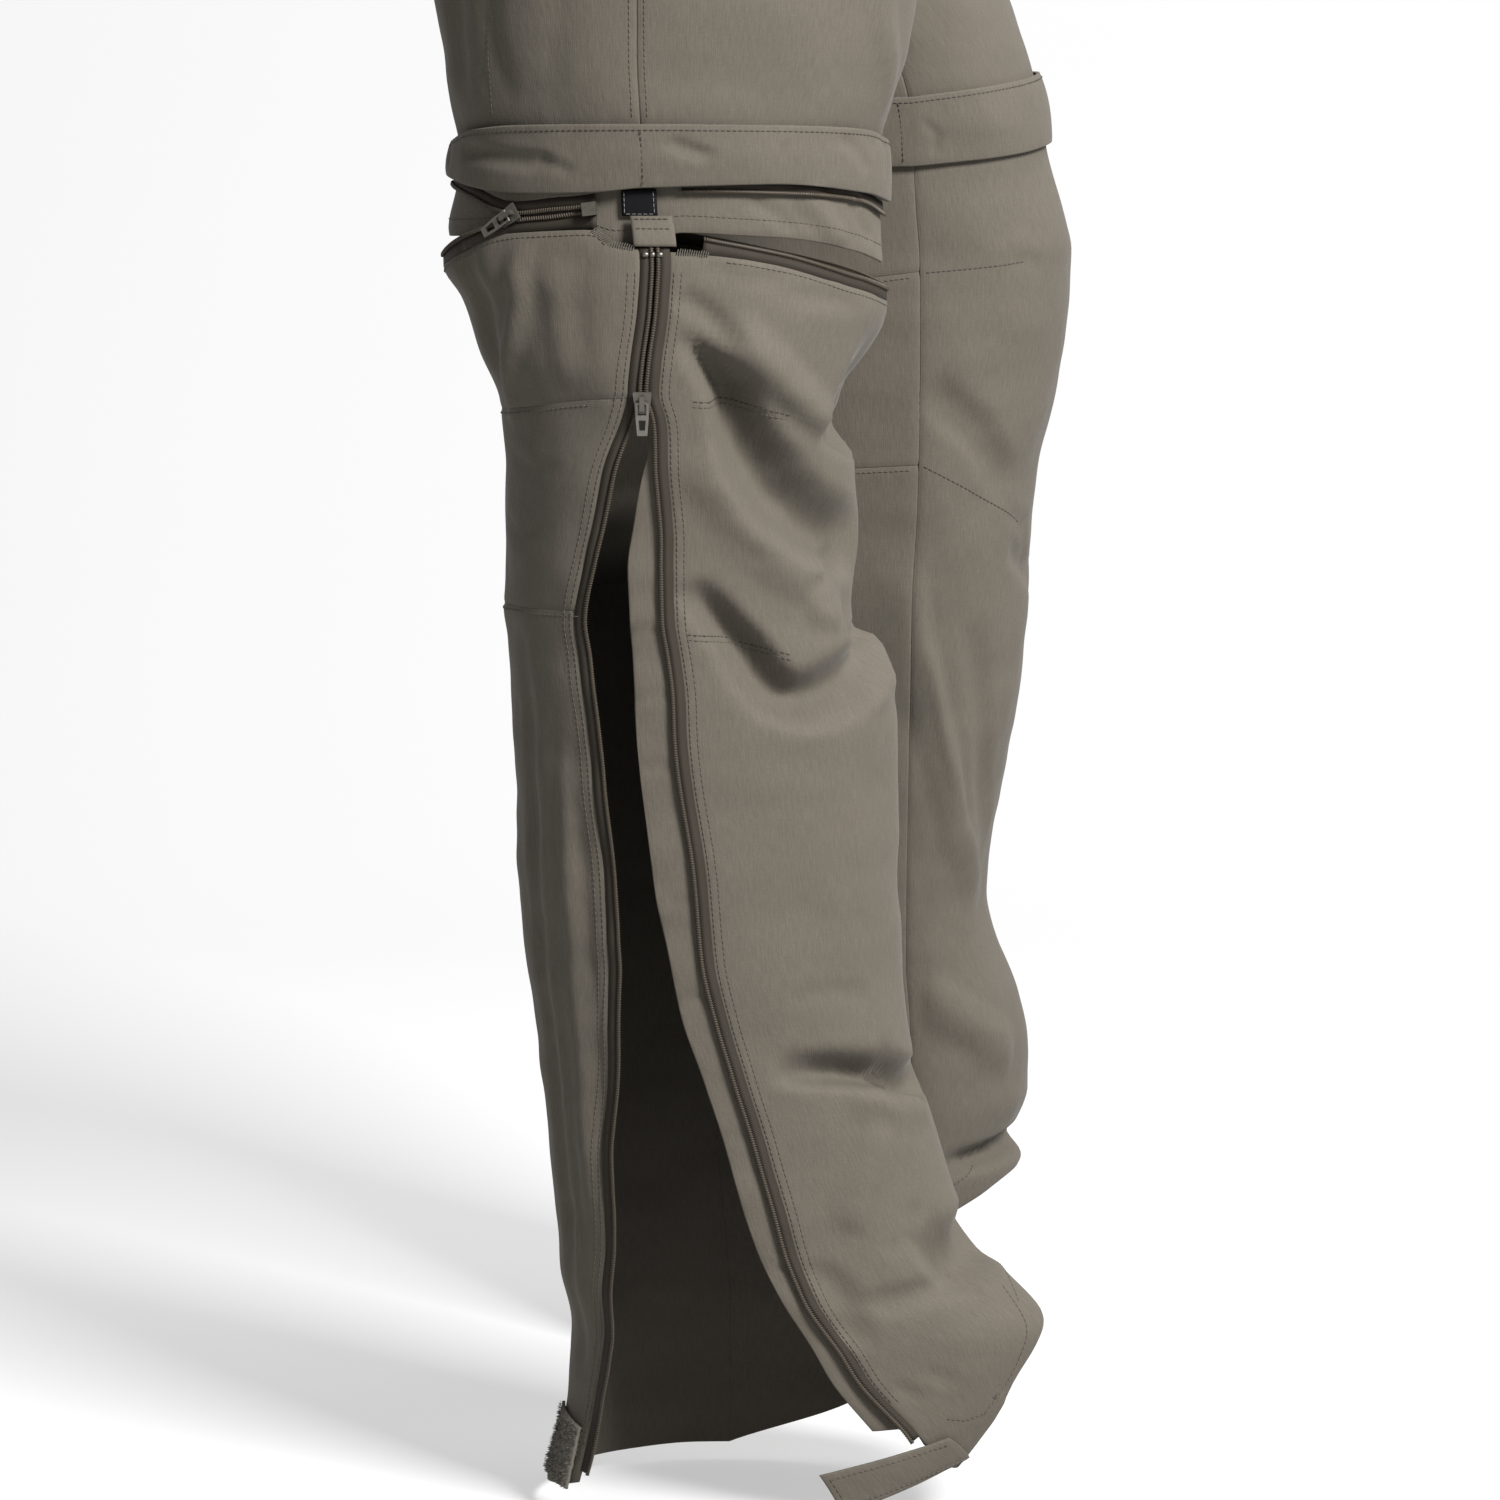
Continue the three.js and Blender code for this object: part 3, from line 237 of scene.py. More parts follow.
# The right side zip's two rows and the guard strip's free edge, as angles at heights.
SIDE_COLUMNS = ["height", "front_row", "back_row", "guard_edge"]
SIDE_ROWS = [
    [600, 0.8, 0.8, 2.4],
    [592, 0.7, 0.7, 2.4],
    [560, -0.4, -0.4, 2.4],
    [540, -1.2, -1.2, 2.4],
    [535, -1.5, -1.5, 2.4],
    [530, -1.6, -1.6, 2.4],
    [522, 0.4, -3, 2.4],
    [505, 2.9, -6.4, 2.3],
    [482, 5.4, -9.3, 1],
    [454, 7.4, -13.2, 0],
    [424, 7.8, -17.6, 0.8],
    [399, 8, -16.6, 0.4],
    [367, 7.4, -15.4, -0.5],
    [311, 8.5, -15, -0.6],
    [270, 8.8, -15.7, 1.9],
    [241, 10.7, -19.2, 3.5],
    [213, 13.2, -22.8, 6.8],
    [180, 15.7, -29.1, 9.8],
    [143, 17.4, -32.8, 11.9],
    [110, 17.7, -39, 14],
    [74, 22.2, -47.4, 18],
    [43, 33.6, -53.8, 27.3],
    [19, 45, -55.3, 38],
    [5, 50, -56, 44],
]

# Finer creases than the solids carry.
RIGHT_FINE = [
    ([[12, 590], [22, 583], [34, 581]], 5, 7, 1.0),
    ([[34, 575], [50, 572], [62, 566]], 6, 8, 1.2),
    ([[22, 470], [28, 460], [36, 452]], 5, 6, 0.8),
    ([[30, 250], [46, 252], [60, 247]], 7, 8, 1.0),
    ([[44, 213], [60, 208], [78, 202]], 5, 4, 2.0),
    ([[58, 150], [50, 135], [42, 128]], 5, 7, 1.4),
    ([[31, 69], [34, 65], [38, 60]], 3, 4, 1.4),
    ([[36, 74], [41, 71], [46, 66]], 4, 4, 1.0),
    ([[22, 100], [24, 92], [28, 84]], 3.5, 5, 1.0),
    ([[-18, 596], [-22, 566], [-20, 540]], 5, 6, 1.3),
    ([[-28, 596], [-31, 560], [-29, 532]], 6, 6, -1.3),
    ([[-70, 500], [-50, 492], [-34, 498]], 5, 6, 0.9),
    ([[-78, 470], [-60, 462], [-44, 466]], 5, 6, 0.9),
    ([[-30, 340], [-30, 240], [-38, 150]], 5, 5, 0.9),
    ([[-50, 300], [-52, 200], [-56, 100]], 5, 5, 0.8),
    ([[130, 506], [146, 488], [160, 480]], 4, 7, 1.6),
    ([[126, 412], [142, 402], [156, 404]], 4, 7, 1.6),
]
THIGH_FINE = [
    ([[-68, 637], [-54, 638], [-42, 636], [-26, 635]], 6, 8, 2.6),
    ([[-32, 638], [-26, 634], [-20, 630]], 3.5, 5, 1.2),
    ([[6, 646], [10, 642], [17, 637]], 4, 6, 1.8),
    ([[52, 646], [60, 638], [66, 628]], 5, 6, 1.1),
    ([[72, 650], [78, 638], [78, 624]], 5, 5, 1.2),
    ([[-88, 644], [-82, 636], [-80, 628]], 5, 5, 1.2),
    ([[60, 616], [66, 606], [72, 596]], 5, 5, 1.6),
    ([[26, 618], [34, 610], [38, 602]], 5, 5, 1.3),
    ([[44, 720], [46, 690], [50, 664]], 6, 6, 1.0),
    ([[-24, 730], [-22, 700], [-26, 668]], 8, 8, 0.9),
    ([[-44, 730], [-46, 700], [-42, 662]], 7, 7, 2.0),
]
LEFT_FINE = [
    ([[174, 498], [160, 486], [146, 470]], 5, 7, 1.2),
    ([[122, 440], [112, 430], [104, 418]], 4, 6, 1.3),
    ([[150, 109], [136, 111], [118, 113]], 3, 5, 2.0),
    ([[170, 380], [164, 340], [152, 300]], 6, 6, -1.4),
    ([[176, 645], [170, 636], [172, 626]], 4, 4, 1.0),
    ([[128, 568], [136, 573], [146, 572]], 6, 6, 1.0),
    ([[110, 438], [120, 440], [130, 446]], 6, 7, 1.4),
    ([[28, 506], [46, 486], [60, 476]], 4, 7, 1.6),
    ([[24, 408], [42, 396], [60, 402]], 4, 7, 1.6),
]


def curve(rows, column=1):
    """A curve through a table's values that doesn't pass beyond them between two rows."""
    points = sorted((row[0], row[column]) for row in rows)
    xs = np.array([point[0] for point in points], float)
    ys = np.array([point[1] for point in points], float)
    steps = np.diff(xs)
    rises = np.diff(ys) / steps
    slopes = np.zeros(len(xs))
    slopes[0], slopes[-1] = rises[0], rises[-1]
    for i in range(1, len(xs) - 1):
        if rises[i - 1] * rises[i] > 0:
            before = 2 * steps[i] + steps[i - 1]
            after = steps[i] + 2 * steps[i - 1]
            slopes[i] = (before + after) / (before / rises[i - 1] + after / rises[i])

    def value(x):
        x = np.clip(np.asarray(x, float), xs[0], xs[-1])
        i = np.clip(np.searchsorted(xs, x, side="right") - 1, 0, len(xs) - 2)
        t = (x - xs[i]) / steps[i]
        t2, t3 = t * t, t * t * t
        return ((2 * t3 - 3 * t2 + 1) * ys[i] + (t3 - 2 * t2 + t) * steps[i] * slopes[i]
                + (3 * t2 - 2 * t3) * ys[i + 1] + (t3 - t2) * steps[i] * slopes[i + 1])

    return value


def edge(table, amount=0):
    """The height of a piece's edge at any angle."""
    value = curve(table)
    return lambda angle: value(np.where(np.asarray(angle) > 180, np.asarray(angle) - 360, angle)) + amount


def crease_depth(fold, angle, height):
    """How far in the cloth goes, from each place's distance to the crease's path."""
    path, above, below, depth, *first_width = fold
    middle = path[len(path) // 2][0]
    at = np.where(angle - middle > 180, angle - 360, angle)
    at = np.where(at - middle < -180, at + 360, at)
    turn = -1 if path[-1][0] - path[0][0] < -0.4 * abs(path[-1][1] - path[0][1]) else 1
    nearest = np.full(np.shape(at), np.inf)
    upper = np.zeros(np.shape(at), bool)
    along = np.zeros(np.shape(at))
    total = 0
    for (start_angle, start_height), (end_angle, end_height) in zip(path, path[1:]):
        dx = (end_angle - start_angle) * MM_PER_DEGREE
        dy = end_height - start_height
        long = math.hypot(dx, dy)
        x = (at - start_angle) * MM_PER_DEGREE
        y = height - start_height
        t = np.clip((x * dx + y * dy) / long ** 2, 0, 1)
        distance = np.hypot(x - t * dx, y - t * dy)
        closer = distance < nearest
        upper = np.where(closer, turn * (dx * y - dy * x) > 0, upper)
        along = np.where(closer, total + t * long, along)
        nearest = np.minimum(distance, nearest)
        total += long
    grown = first_width[0] if first_width else 1
    growth = grown + (1 - grown) * np.minimum(1, 2 * along / total)
    width = np.where(upper, above, below) * growth
    across = np.clip(1 - (nearest / width) ** 2, 0, 1)
    ends = np.minimum(1, np.minimum(along / total, 1 - along / total) * 4)
    return depth * across ** 2 * ends * (2 - ends)


RIPPLE_COUNT = 26
RIPPLE_WAVELENGTHS = (16, 70)
RIPPLE_STEEPNESS = 0.0022
random.seed(7)
RIPPLES = []
for _ in range(RIPPLE_COUNT):
    wavelength = random.uniform(*RIPPLE_WAVELENGTHS)
    turn = random.uniform(0, math.pi)
    phase = random.uniform(0, 2 * math.pi)
    size = wavelength * RIPPLE_STEEPNESS
    RIPPLES.append((math.cos(turn) / wavelength, math.sin(turn) / wavelength, phase, size))


def ripple(angle, height, side):
    """Slight unevenness all over the cloth. It repeats once round a leg, so it meets itself."""
    total = np.zeros(np.shape(angle))
    for across, up, phase, size in RIPPLES:
        turns = round(across * 360 * MM_PER_DEGREE)
        total = total + size * np.sin(np.radians(angle) * turns + 2 * math.pi * up * height + phase + side)
    return total


class Leg:
    """A leg's form: a point on it for any angle round it and height, with the creases put in."""

    def __init__(self, sections, folds, side):
        self.curves = {name: curve(sections, i + 1) for i, name in enumerate(SECTION_COLUMNS[1:])}
        self.folds = folds
        self.side = side

    def smooth(self, angle, height):
        c = self.curves
        cos, sin = np.cos(np.radians(angle)), np.sin(np.radians(angle))
        crown = c["crown"](height)
        seam = np.where(cos > 0, c["outseam"](height), c["inseam"](height))
        sideways = crown + cos * np.where(cos > 0, c["outer"](height) - crown, crown - c["inner"](height))
        forward = seam + sin * np.where(sin > 0, c["front"](height) - seam, seam - c["back"](height))
        return np.stack([self.side * sideways, -forward, height + 0 * forward], -1)

    def normal(self, place, angle, height, near=1.0):
        around = place(angle + near, height) - place(angle - near, height)
        down = place(angle, height - 1.5 * near) - place(angle, height + 1.5 * near)
        out = np.cross(around, down) * self.side
        return out / np.maximum(np.linalg.norm(out, axis=-1, keepdims=True), 1e-9)

    def outward(self, angle, height, smooth):
        """The way out of the cloth, or of the form without its creases for what lies well off it."""
        return self.normal(self.smooth if smooth else self.cloth, angle, height, 0.6)

    def cloth(self, angle, height):
        angle, height = np.broadcast_arrays(np.asarray(angle, float), np.asarray(height, float))
        depth = -ripple(angle, height, self.side)
        for fold in self.folds:
            depth = depth + crease_depth(fold, angle, height)
        return self.smooth(angle, height) - depth[..., None] * self.normal(self.smooth, angle, height)

    def lifted(self, angle, height, lift):
        lift = np.asarray(lift, float)
        outward = self.outward(angle, height, np.abs(lift).max() > 1)
        return self.cloth(angle, height) + lift[..., None] * outward

    def away(self, angle, height, distance):
        """The angle that is a distance along the cloth from another one."""
        start = self.smooth(angle, height)
        move = np.full(np.shape(start)[:-1], float(np.sign(distance)))
        for _ in range(3):
            move = move * abs(distance) / np.linalg.norm(self.smooth(angle + move, height) - start, axis=-1)
        return angle + move

    def cut(self, height):
        """Where the leg's section meets the body's middle line, or its own inseam below the crotch."""
        crown, inner = self.curves["crown"](height), self.curves["inner"](height)
        seam = 180 + math.degrees(LAP / THIGH_RADIUS)
        reach = np.minimum(1, (crown + LAP) / np.maximum(crown - inner, 1e-6))
        return np.where(inner >= 0, seam, np.minimum(seam, 90 + np.degrees(np.arcsin(reach))))


right_thigh = Leg(RIGHT_THIGH_SECTIONS, RIGHT_THIGH_FOLDS + THIGH_FINE, -1)
right_lower = Leg(RIGHT_LOWER_SECTIONS, RIGHT_LOWER_FOLDS + RIGHT_FINE, -1)
left_leg = Leg(LEFT_SECTIONS, LEFT_FOLDS + LEFT_FINE, 1)
side_curves = {name: curve(SIDE_ROWS, i + 1) for i, name in enumerate(SIDE_COLUMNS[1:])}


# Materials.
def node(tree, kind, **values):
    made = tree.nodes.new(kind)
    for name, value in values.items():
        if name in made.inputs:
            made.inputs[name].default_value = value
        else:
            setattr(made, name, value)
    return made


def new_material(name):
    made = bpy.data.materials.new(name)
    made.use_nodes = True
    return made, made.node_tree, made.node_tree.nodes["Principled BSDF"]


def stretched(tree, source, scale):
    """A mapping of the texture coordinates by a scale."""
    mapping = tree.nodes.new("ShaderNodeMapping")
    mapping.inputs["Scale"].default_value = scale
    tree.links.new(source, mapping.inputs["Vector"])
    return mapping.outputs["Vector"]


def noise(tree, vector, scale, detail=2.0, rough=0.5):
    made = node(tree, "ShaderNodeTexNoise", Scale=scale, Detail=detail, Roughness=rough)
    tree.links.new(vector, made.inputs["Vector"])
    return made.outputs["Fac"]


def contrast(tree, value, gain):
    """A value from 0 to 1 with its middle kept and its spread multiplied."""
    made = node(tree, "ShaderNodeMath", operation="MULTIPLY_ADD", use_clamp=True)
    tree.links.new(value, made.inputs[0])
    made.inputs[1].default_value = gain
    made.inputs[2].default_value = 0.5 - gain / 2
    return made.outputs[0]


def mixed(tree, factor, first, second):
    made = tree.nodes.new("ShaderNodeMix")
    made.data_type = "RGBA"
    tree.links.new(factor, made.inputs["Factor"])
    for socket, value in ((made.inputs[6], first), (made.inputs[7], second)):
        if isinstance(value, tuple):
            socket.default_value = (*value, 1)
        else:
            tree.links.new(value, socket)
    return made.outputs[2]


def maths(tree, operation, first, second):
    made = node(tree, "ShaderNodeMath", operation=operation)
    for socket, value in zip(made.inputs, (first, second)):
        if isinstance(value, (int, float)):
            socket.default_value = value
        else:
            tree.links.new(value, socket)
    return made.outputs[0]


WEAVE_SCALE = 0.31 / 0.00055 / 2
STREAK = 0.10
AGED = (0.86, 0.84, 0.80)


def cloth_material(name, colour):
    """Fine woven nylon: a plain weave in the bump, faint streaks along the warp and slow changes of tone."""
    made, tree, shader = new_material(name)
    uv = tree.nodes.new("ShaderNodeUVMap").outputs["UV"]
    streaks = contrast(tree, noise(tree, stretched(tree, uv, (1100, 130, 1)), 1.0, 2), 2.6)
    grain = contrast(tree, noise(tree, stretched(tree, uv, (800, 800, 1)), 1.0, 3, 0.6), 2.4)
    tone = contrast(tree, noise(tree, stretched(tree, uv, (22, 14, 1)), 1.0, 3), 2.2)
    light = tuple(c * (1 + STREAK) for c in colour)
    dark = tuple(c * (1 - STREAK) for c in colour)
    first = mixed(tree, streaks, dark, light)
    second = mixed(tree, maths(tree, "MULTIPLY", grain, 0.35), first, tuple(c * 0.72 for c in colour))
    aged = tuple(c * f for c, f in zip(colour, AGED))
    third = mixed(tree, maths(tree, "MULTIPLY", tone, 0.22), second, aged)
    tree.links.new(third, shader.inputs["Base Color"])
    threads = []
    for turn in ("X", "Y"):
        wave = node(tree, "ShaderNodeTexWave", bands_direction=turn, Scale=WEAVE_SCALE, Distortion=1.2)
        wave.inputs["Detail"].default_value = 1.0
        tree.links.new(uv, wave.inputs["Vector"])
        threads.append(wave.outputs["Fac"])
    weave_height = maths(tree, "MULTIPLY", maths(tree, "MAXIMUM", *threads), 0.55)
    crumple = noise(tree, stretched(tree, uv, (70, 55, 1)), 1.0, 4, 0.55)
    height = maths(tree, "ADD", weave_height, maths(tree, "MULTIPLY", streaks, 0.7))
    fine = node(tree, "ShaderNodeBump", Strength=0.25, Distance=0.00022)
    tree.links.new(height, fine.inputs["Height"])
    broad = node(tree, "ShaderNodeBump", Strength=0.16, Distance=0.0035)
    tree.links.new(crumple, broad.inputs["Height"])
    tree.links.new(fine.outputs["Normal"], broad.inputs["Normal"])
    tree.links.new(broad.outputs["Normal"], shader.inputs["Normal"])
    rough = maths(tree, "ADD", maths(tree, "MULTIPLY", grain, 0.16), 0.70)
    tree.links.new(rough, shader.inputs["Roughness"])
    shader.inputs["Specular IOR Level"].default_value = 0.12
    shader.inputs["Sheen Weight"].default_value = 0.05
    shader.inputs["Sheen Roughness"].default_value = 0.45
    return made


def tape_material(name, colour):
    """Zip tape: a knitted rib with a diagonal twill."""
    made, tree, shader = new_material(name)
    uv = tree.nodes.new("ShaderNodeUVMap").outputs["UV"]
    wave = node(tree, "ShaderNodeTexWave", bands_direction="DIAGONAL", Scale=560, Distortion=1.5)
    tree.links.new(uv, wave.inputs["Vector"])
    grain = noise(tree, stretched(tree, uv, (1400, 1400, 1)), 1.0, 3)
    tone = mixed(tree, wave.outputs["Fac"], tuple(c * 0.7 for c in colour), tuple(c * 1.25 for c in colour))
    tree.links.new(mixed(tree, maths(tree, "MULTIPLY", grain, 0.4), tone, tuple(c * 0.6 for c in colour)),
                   shader.inputs["Base Color"])
    relief = node(tree, "ShaderNodeBump", Strength=0.5, Distance=0.0003)
    tree.links.new(wave.outputs["Fac"], relief.inputs["Height"])
    tree.links.new(relief.outputs["Normal"], shader.inputs["Normal"])
    shader.inputs["Roughness"].default_value = 0.72
    shader.inputs["Specular IOR Level"].default_value = 0.2
    return made


def plain_material(name, colour, rough, metal=0.0, wear=0.12, scale=600.0, bump=0.08, gloss=0.5):
    """Metal, plastic or thread with a little uneven tone and roughness."""
    made, tree, shader = new_material(name)
    place = tree.nodes.new("ShaderNodeTexCoord").outputs["Object"]
    spots = noise(tree, place, scale, 3, 0.6)
    light = tuple(min(1, c * (1 + wear)) for c in colour)
    dark = tuple(c * (1 - wear) for c in colour)
    tree.links.new(mixed(tree, spots, dark, light), shader.inputs["Base Color"])
    uneven = maths(tree, "ADD", maths(tree, "MULTIPLY", spots, 0.25), rough - 0.12)
    tree.links.new(uneven, shader.inputs["Roughness"])
    relief = node(tree, "ShaderNodeBump", Strength=bump, Distance=0.0002)
    tree.links.new(spots, relief.inputs["Height"])
    tree.links.new(relief.outputs["Normal"], shader.inputs["Normal"])
    shader.inputs["Metallic"].default_value = metal
    shader.inputs["Specular IOR Level"].default_value = gloss
    return made


CLOTH = cloth_material("nylon_cloth", (0.074, 0.065, 0.0522))
LINING = cloth_material("nylon_inside", (0.050, 0.044, 0.035))
TAPE = tape_material("zip_tape", (0.023, 0.018, 0.0125))
COIL = plain_material("zip_coil", (0.036, 0.028, 0.019), 0.48, 0.0, 0.3, 900.0, gloss=0.25)
METAL = plain_material("slider_metal", (0.12, 0.11, 0.095), 0.42, 0.85, 0.2, 500.0)
PULL = plain_material("pull_metal", (0.19, 0.175, 0.155), 0.30, 0.9, 0.25, 500.0)
THREAD = plain_material("thread", (0.050, 0.043, 0.032), 0.7, 0.0, 0.2, 2000.0)
DARK_THREAD = plain_material("dark_thread", (0.018, 0.015, 0.011), 0.7, 0.0, 0.2, 2000.0)
BLACK = plain_material("black_tape", (0.0030, 0.0030, 0.0036), 0.75, 0.0, 0.3, 1500.0, 0.4, 0.08)
FUZZ = plain_material("loop_fuzz", (0.085, 0.077, 0.063), 0.9, 0.0, 0.35, 700.0, 0.6)
BUTTON = plain_material("button_plastic", (0.022, 0.019, 0.015), 0.45, 0.0, 0.15, 300.0)
WHITE = plain_material("white_ground", (0.27, 0.27, 0.27), 0.9, 0.0, 0.01, 2.0, 0.0, 0.0)
ground_shader = WHITE.node_tree.nodes["Principled BSDF"]
ground_shader.inputs["Emission Color"].default_value = (1, 1, 1, 1)
ground_shader.inputs["Emission Strength"].default_value = 0.5


# Meshes.
def make_object(name, points, faces, uvs, materials, face_materials):
    """A mesh from points in millimetres above the floor. uvs is one place for each point."""
    mesh = bpy.data.meshes.new(name)
    placed = (np.asarray(points, float) - (0, 0, WAIST_HEIGHT)) / 1000
    mesh.from_pydata(placed.tolist(), [], faces)
    for material in materials:
        mesh.materials.append(material)
    mesh.polygons.foreach_set("material_index", np.asarray(face_materials, np.int32))
    mesh.polygons.foreach_set("use_smooth", np.ones(len(mesh.polygons), bool))
    layer = mesh.uv_layers.new(name="UVMap")
    index = np.zeros(len(mesh.loops), np.int32)
    mesh.loops.foreach_get("vertex_index", index)
    layer.data.foreach_set("uv", np.asarray(uvs, np.float32)[index].ravel())
    mesh.validate()
    mesh.update()
    made = bpy.data.objects.new(name, mesh)
    bpy.context.collection.objects.link(made)
    return made


def right_way_out(points, faces):
    """The faces turned so that the closed surface has its volume inside."""
    corners = np.asarray(points)[np.array([face[:3] for face in faces])]
    volume = np.einsum("ij,ij->i", corners[:, 0], np.cross(corners[:, 1], corners[:, 2])).sum()
    return faces if volume > 0 else [tuple(reversed(face)) for face in faces]


def shell(name, outside, inside, uvs, materials, ring=False):
    """A closed wall between two equal grids of points. Its inside takes the second material."""
    wide, tall = outside.shape[:2]
    points = np.concatenate([outside.reshape(-1, 3), inside.reshape(-1, 3)])
    base = wide * tall
    faces, kinds = [], []

    def quad(*corners, kind=0):
        faces.append(corners)
        kinds.append(kind)

    for i in range(wide if ring else wide - 1):
        k = (i + 1) % wide
        for j in range(tall - 1):
            a, b, c, d = i * tall + j, k * tall + j, k * tall + j + 1, i * tall + j + 1
            quad(a, b, c, d)
            quad(base + d, base + c, base + b, base + a, kind=len(materials) - 1)
        quad(base + i * tall, base + k * tall, k * tall, i * tall)
        here, there = (i + 1) * tall - 1, (k + 1) * tall - 1
        quad(here, there, base + there, base + here)
    if not ring:
        last = (wide - 1) * tall
        for j in range(tall - 1):
            quad(base + j, j, j + 1, base + j + 1)
            quad(last + j, base + last + j, base + last + j + 1, last + j + 1)
    faces = right_way_out(points, faces)
    return make_object(name, points, faces, np.concatenate([uvs, uvs]), materials, kinds)


def lengths_along(points, axis):
    """How far each grid point is along its row or column, in millimetres."""
    step = np.linalg.norm(np.diff(points, axis=axis), axis=-1)
    start = np.zeros_like(np.take(step, [0], axis=axis))
    return np.concatenate([start, np.cumsum(step, axis=axis)], axis=axis)


def spaced(length, step, edges=(0.7, 1.8, 3.4)):
    """Values from 0 to 1, closer near both ends, for a grid of about this step."""
    middle = np.linspace(0, 1, max(4, int(length / step)))
    near = np.array(edges) / length
    kept = middle[(middle > near[-1] * 1.3) & (middle < 1 - near[-1] * 1.3)]
    return np.concatenate([[0], near, kept, 1 - near[::-1], [1]])


def roll(distance):
    """How far an edge turns in, at a distance from it."""
    return -EDGE_ROLL * np.exp(-(distance / EDGE_ROLL_WIDTH) ** 2)


def cloth_piece(name, nodes, leg, angle, height, wall, lift=0.0, ring=False, soft=(1, 1, 1, 1),
                materials=None, slot="cloth", sheet=True):
    """A cloth wall over a grid. soft is how far its start, end, top and bottom edges turn in."""
    base = leg.cloth(angle, height)
    across = lengths_along(base, 0)
    down = lengths_along(base, 1)
    turned = np.zeros(angle.shape)
    if not ring:
        turned = turned + soft[0] * roll(across) + soft[1] * roll(across[-1:, :] - across)
    turned = turned + soft[2] * roll(down) + soft[3] * roll(down[:, -1:] - down)
    rise = np.asarray(lift, float) + 0 * angle
    normal = leg.outward(angle, height, np.abs(rise).max() > 1)
    outside = base + (rise + turned)[..., None] * normal
    inside = base + (rise - wall)[..., None] * normal
    middle = across[:, across.shape[1] // 2]
    u = np.repeat(middle[:, None], angle.shape[1], 1) / 1000
    v = height / 1000
    uvs = np.stack([u.ravel(), v.ravel()], -1)
    made = shell(name, outside, inside, uvs, materials or [CLOTH, LINING], ring)
    finish_piece(made, nodes)
    if sheet:
        wide = float(across[-1].mean()) / 1000
        if ring:
            wide += float(np.linalg.norm(base[0] - base[-1], axis=-1).mean()) / 1000


def finish_piece(made, nodes):
    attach(made, BODY)
    if nodes:
        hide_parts(*nodes)


def panel(name, nodes, leg, start_of, end_of, top_of, bottom_of, size, step):
    """A panel whose start and end follow the height, and whose top and bottom follow the angle."""
    u = spaced(size[0], step)[:, None]
    t = spaced(size[1], step)[None, :]
    angle = u * 90 + 0 * t
    height = 600 - t * 400 + 0 * u
    for _ in range(7):
        start, end = start_of(height), end_of(height)
        angle = start + u * (end - start)
        top, bottom = top_of(angle), bottom_of(angle)
        height = top + t * (bottom - top)
    cloth_piece(name, nodes, leg, angle, height, CLOTH_WALL)


def constant(value):
    return lambda other: value + 0 * np.asarray(other, float)


# The shorts.
upper_row = edge(RIGHT_UPPER_ROW)
lower_row = edge(RIGHT_LOWER_ROW)
thigh_bottom = edge(RIGHT_UPPER_ROW, TAPE_REACH - LAP)
left_bottom = edge(LEFT_ZIP_LINE, TAPE_REACH - LAP)
shorts_top = constant(WAIST_HEIGHT - WAISTBAND_DEPTH + LAP)
SHORTS_SIZE = (230, 390)
SHORTS_STEP = 4.2
for side_name, leg, bottom in (("right", right_thigh, thigh_bottom), ("left", left_leg, left_bottom)):
    for part, lap, end_of in (("front", -LAP, leg.cut), ("back", LAP, lambda height: -leg.cut(height))):
        panel(f"cloth_{part}_{side_name}", [f"{part}_{side_name}"], leg,
              lambda height: leg.away(0, height, lap), end_of, shorts_top, bottom, SHORTS_SIZE, SHORTS_STEP)


def band_piece():
    """The waistband, whose left end laps over its right end."""
    right = [(-1, 89.93 - t * 179.93, 0.0) for t in np.linspace(0, 1, 80)]
    left = [(1, -90 + t * 172, 0.0) for t in np.linspace(0, 1, 78)[1:]]
    lap = [(1, 84, 1.0), (1, 87, 2.0), (1, 89.93, 2.6)]
    lap += [(-1, angle, 3.0) for angle in (88, 84, 80, 77, 74.5)]
    stations = right + left + lap
    heights = WAIST_HEIGHT - WAISTBAND_DEPTH * spaced(WAISTBAND_DEPTH, 3)
    outside, inside = [], []
    for side, angle, rise in stations:
        leg = right_thigh if side < 0 else left_leg
        angles = np.full(heights.shape, float(angle))
        puff = 0.35 * np.sin(np.pi * np.linspace(0, 1, len(heights))) ** 0.5 - 0.35
        outside.append(leg.lifted(angles, heights, rise + puff))
        inside.append(leg.lifted(angles, heights, np.full(heights.shape, rise - DOUBLE_WALL)))
    outside, inside = np.array(outside), np.array(inside)
    around = lengths_along(outside, 0)[:, 0]
    uvs = np.stack([np.repeat(around, len(heights)) / 1000, np.tile(heights, len(stations)) / 1000], -1)
    made = shell("cloth_waistband", outside, inside, uvs, [CLOTH, LINING])
    finish_piece(made, ["waistband"])


band_piece()


def front_place(x, height):
    """The leg and angle of the front panels' place at a distance x to the left of the middle."""
    side = np.where(x < 0, -1, 1)
    crown = left_leg.curves["crown"](height)
    sideways = np.maximum(np.abs(x), SEAM_GAP / 2)
    outer, inner = left_leg.curves["outer"](height), left_leg.curves["inner"](height)
    outward = np.where(sideways > crown, outer - crown, crown - inner)
    return side, np.degrees(np.arccos((sideways - crown) / outward))


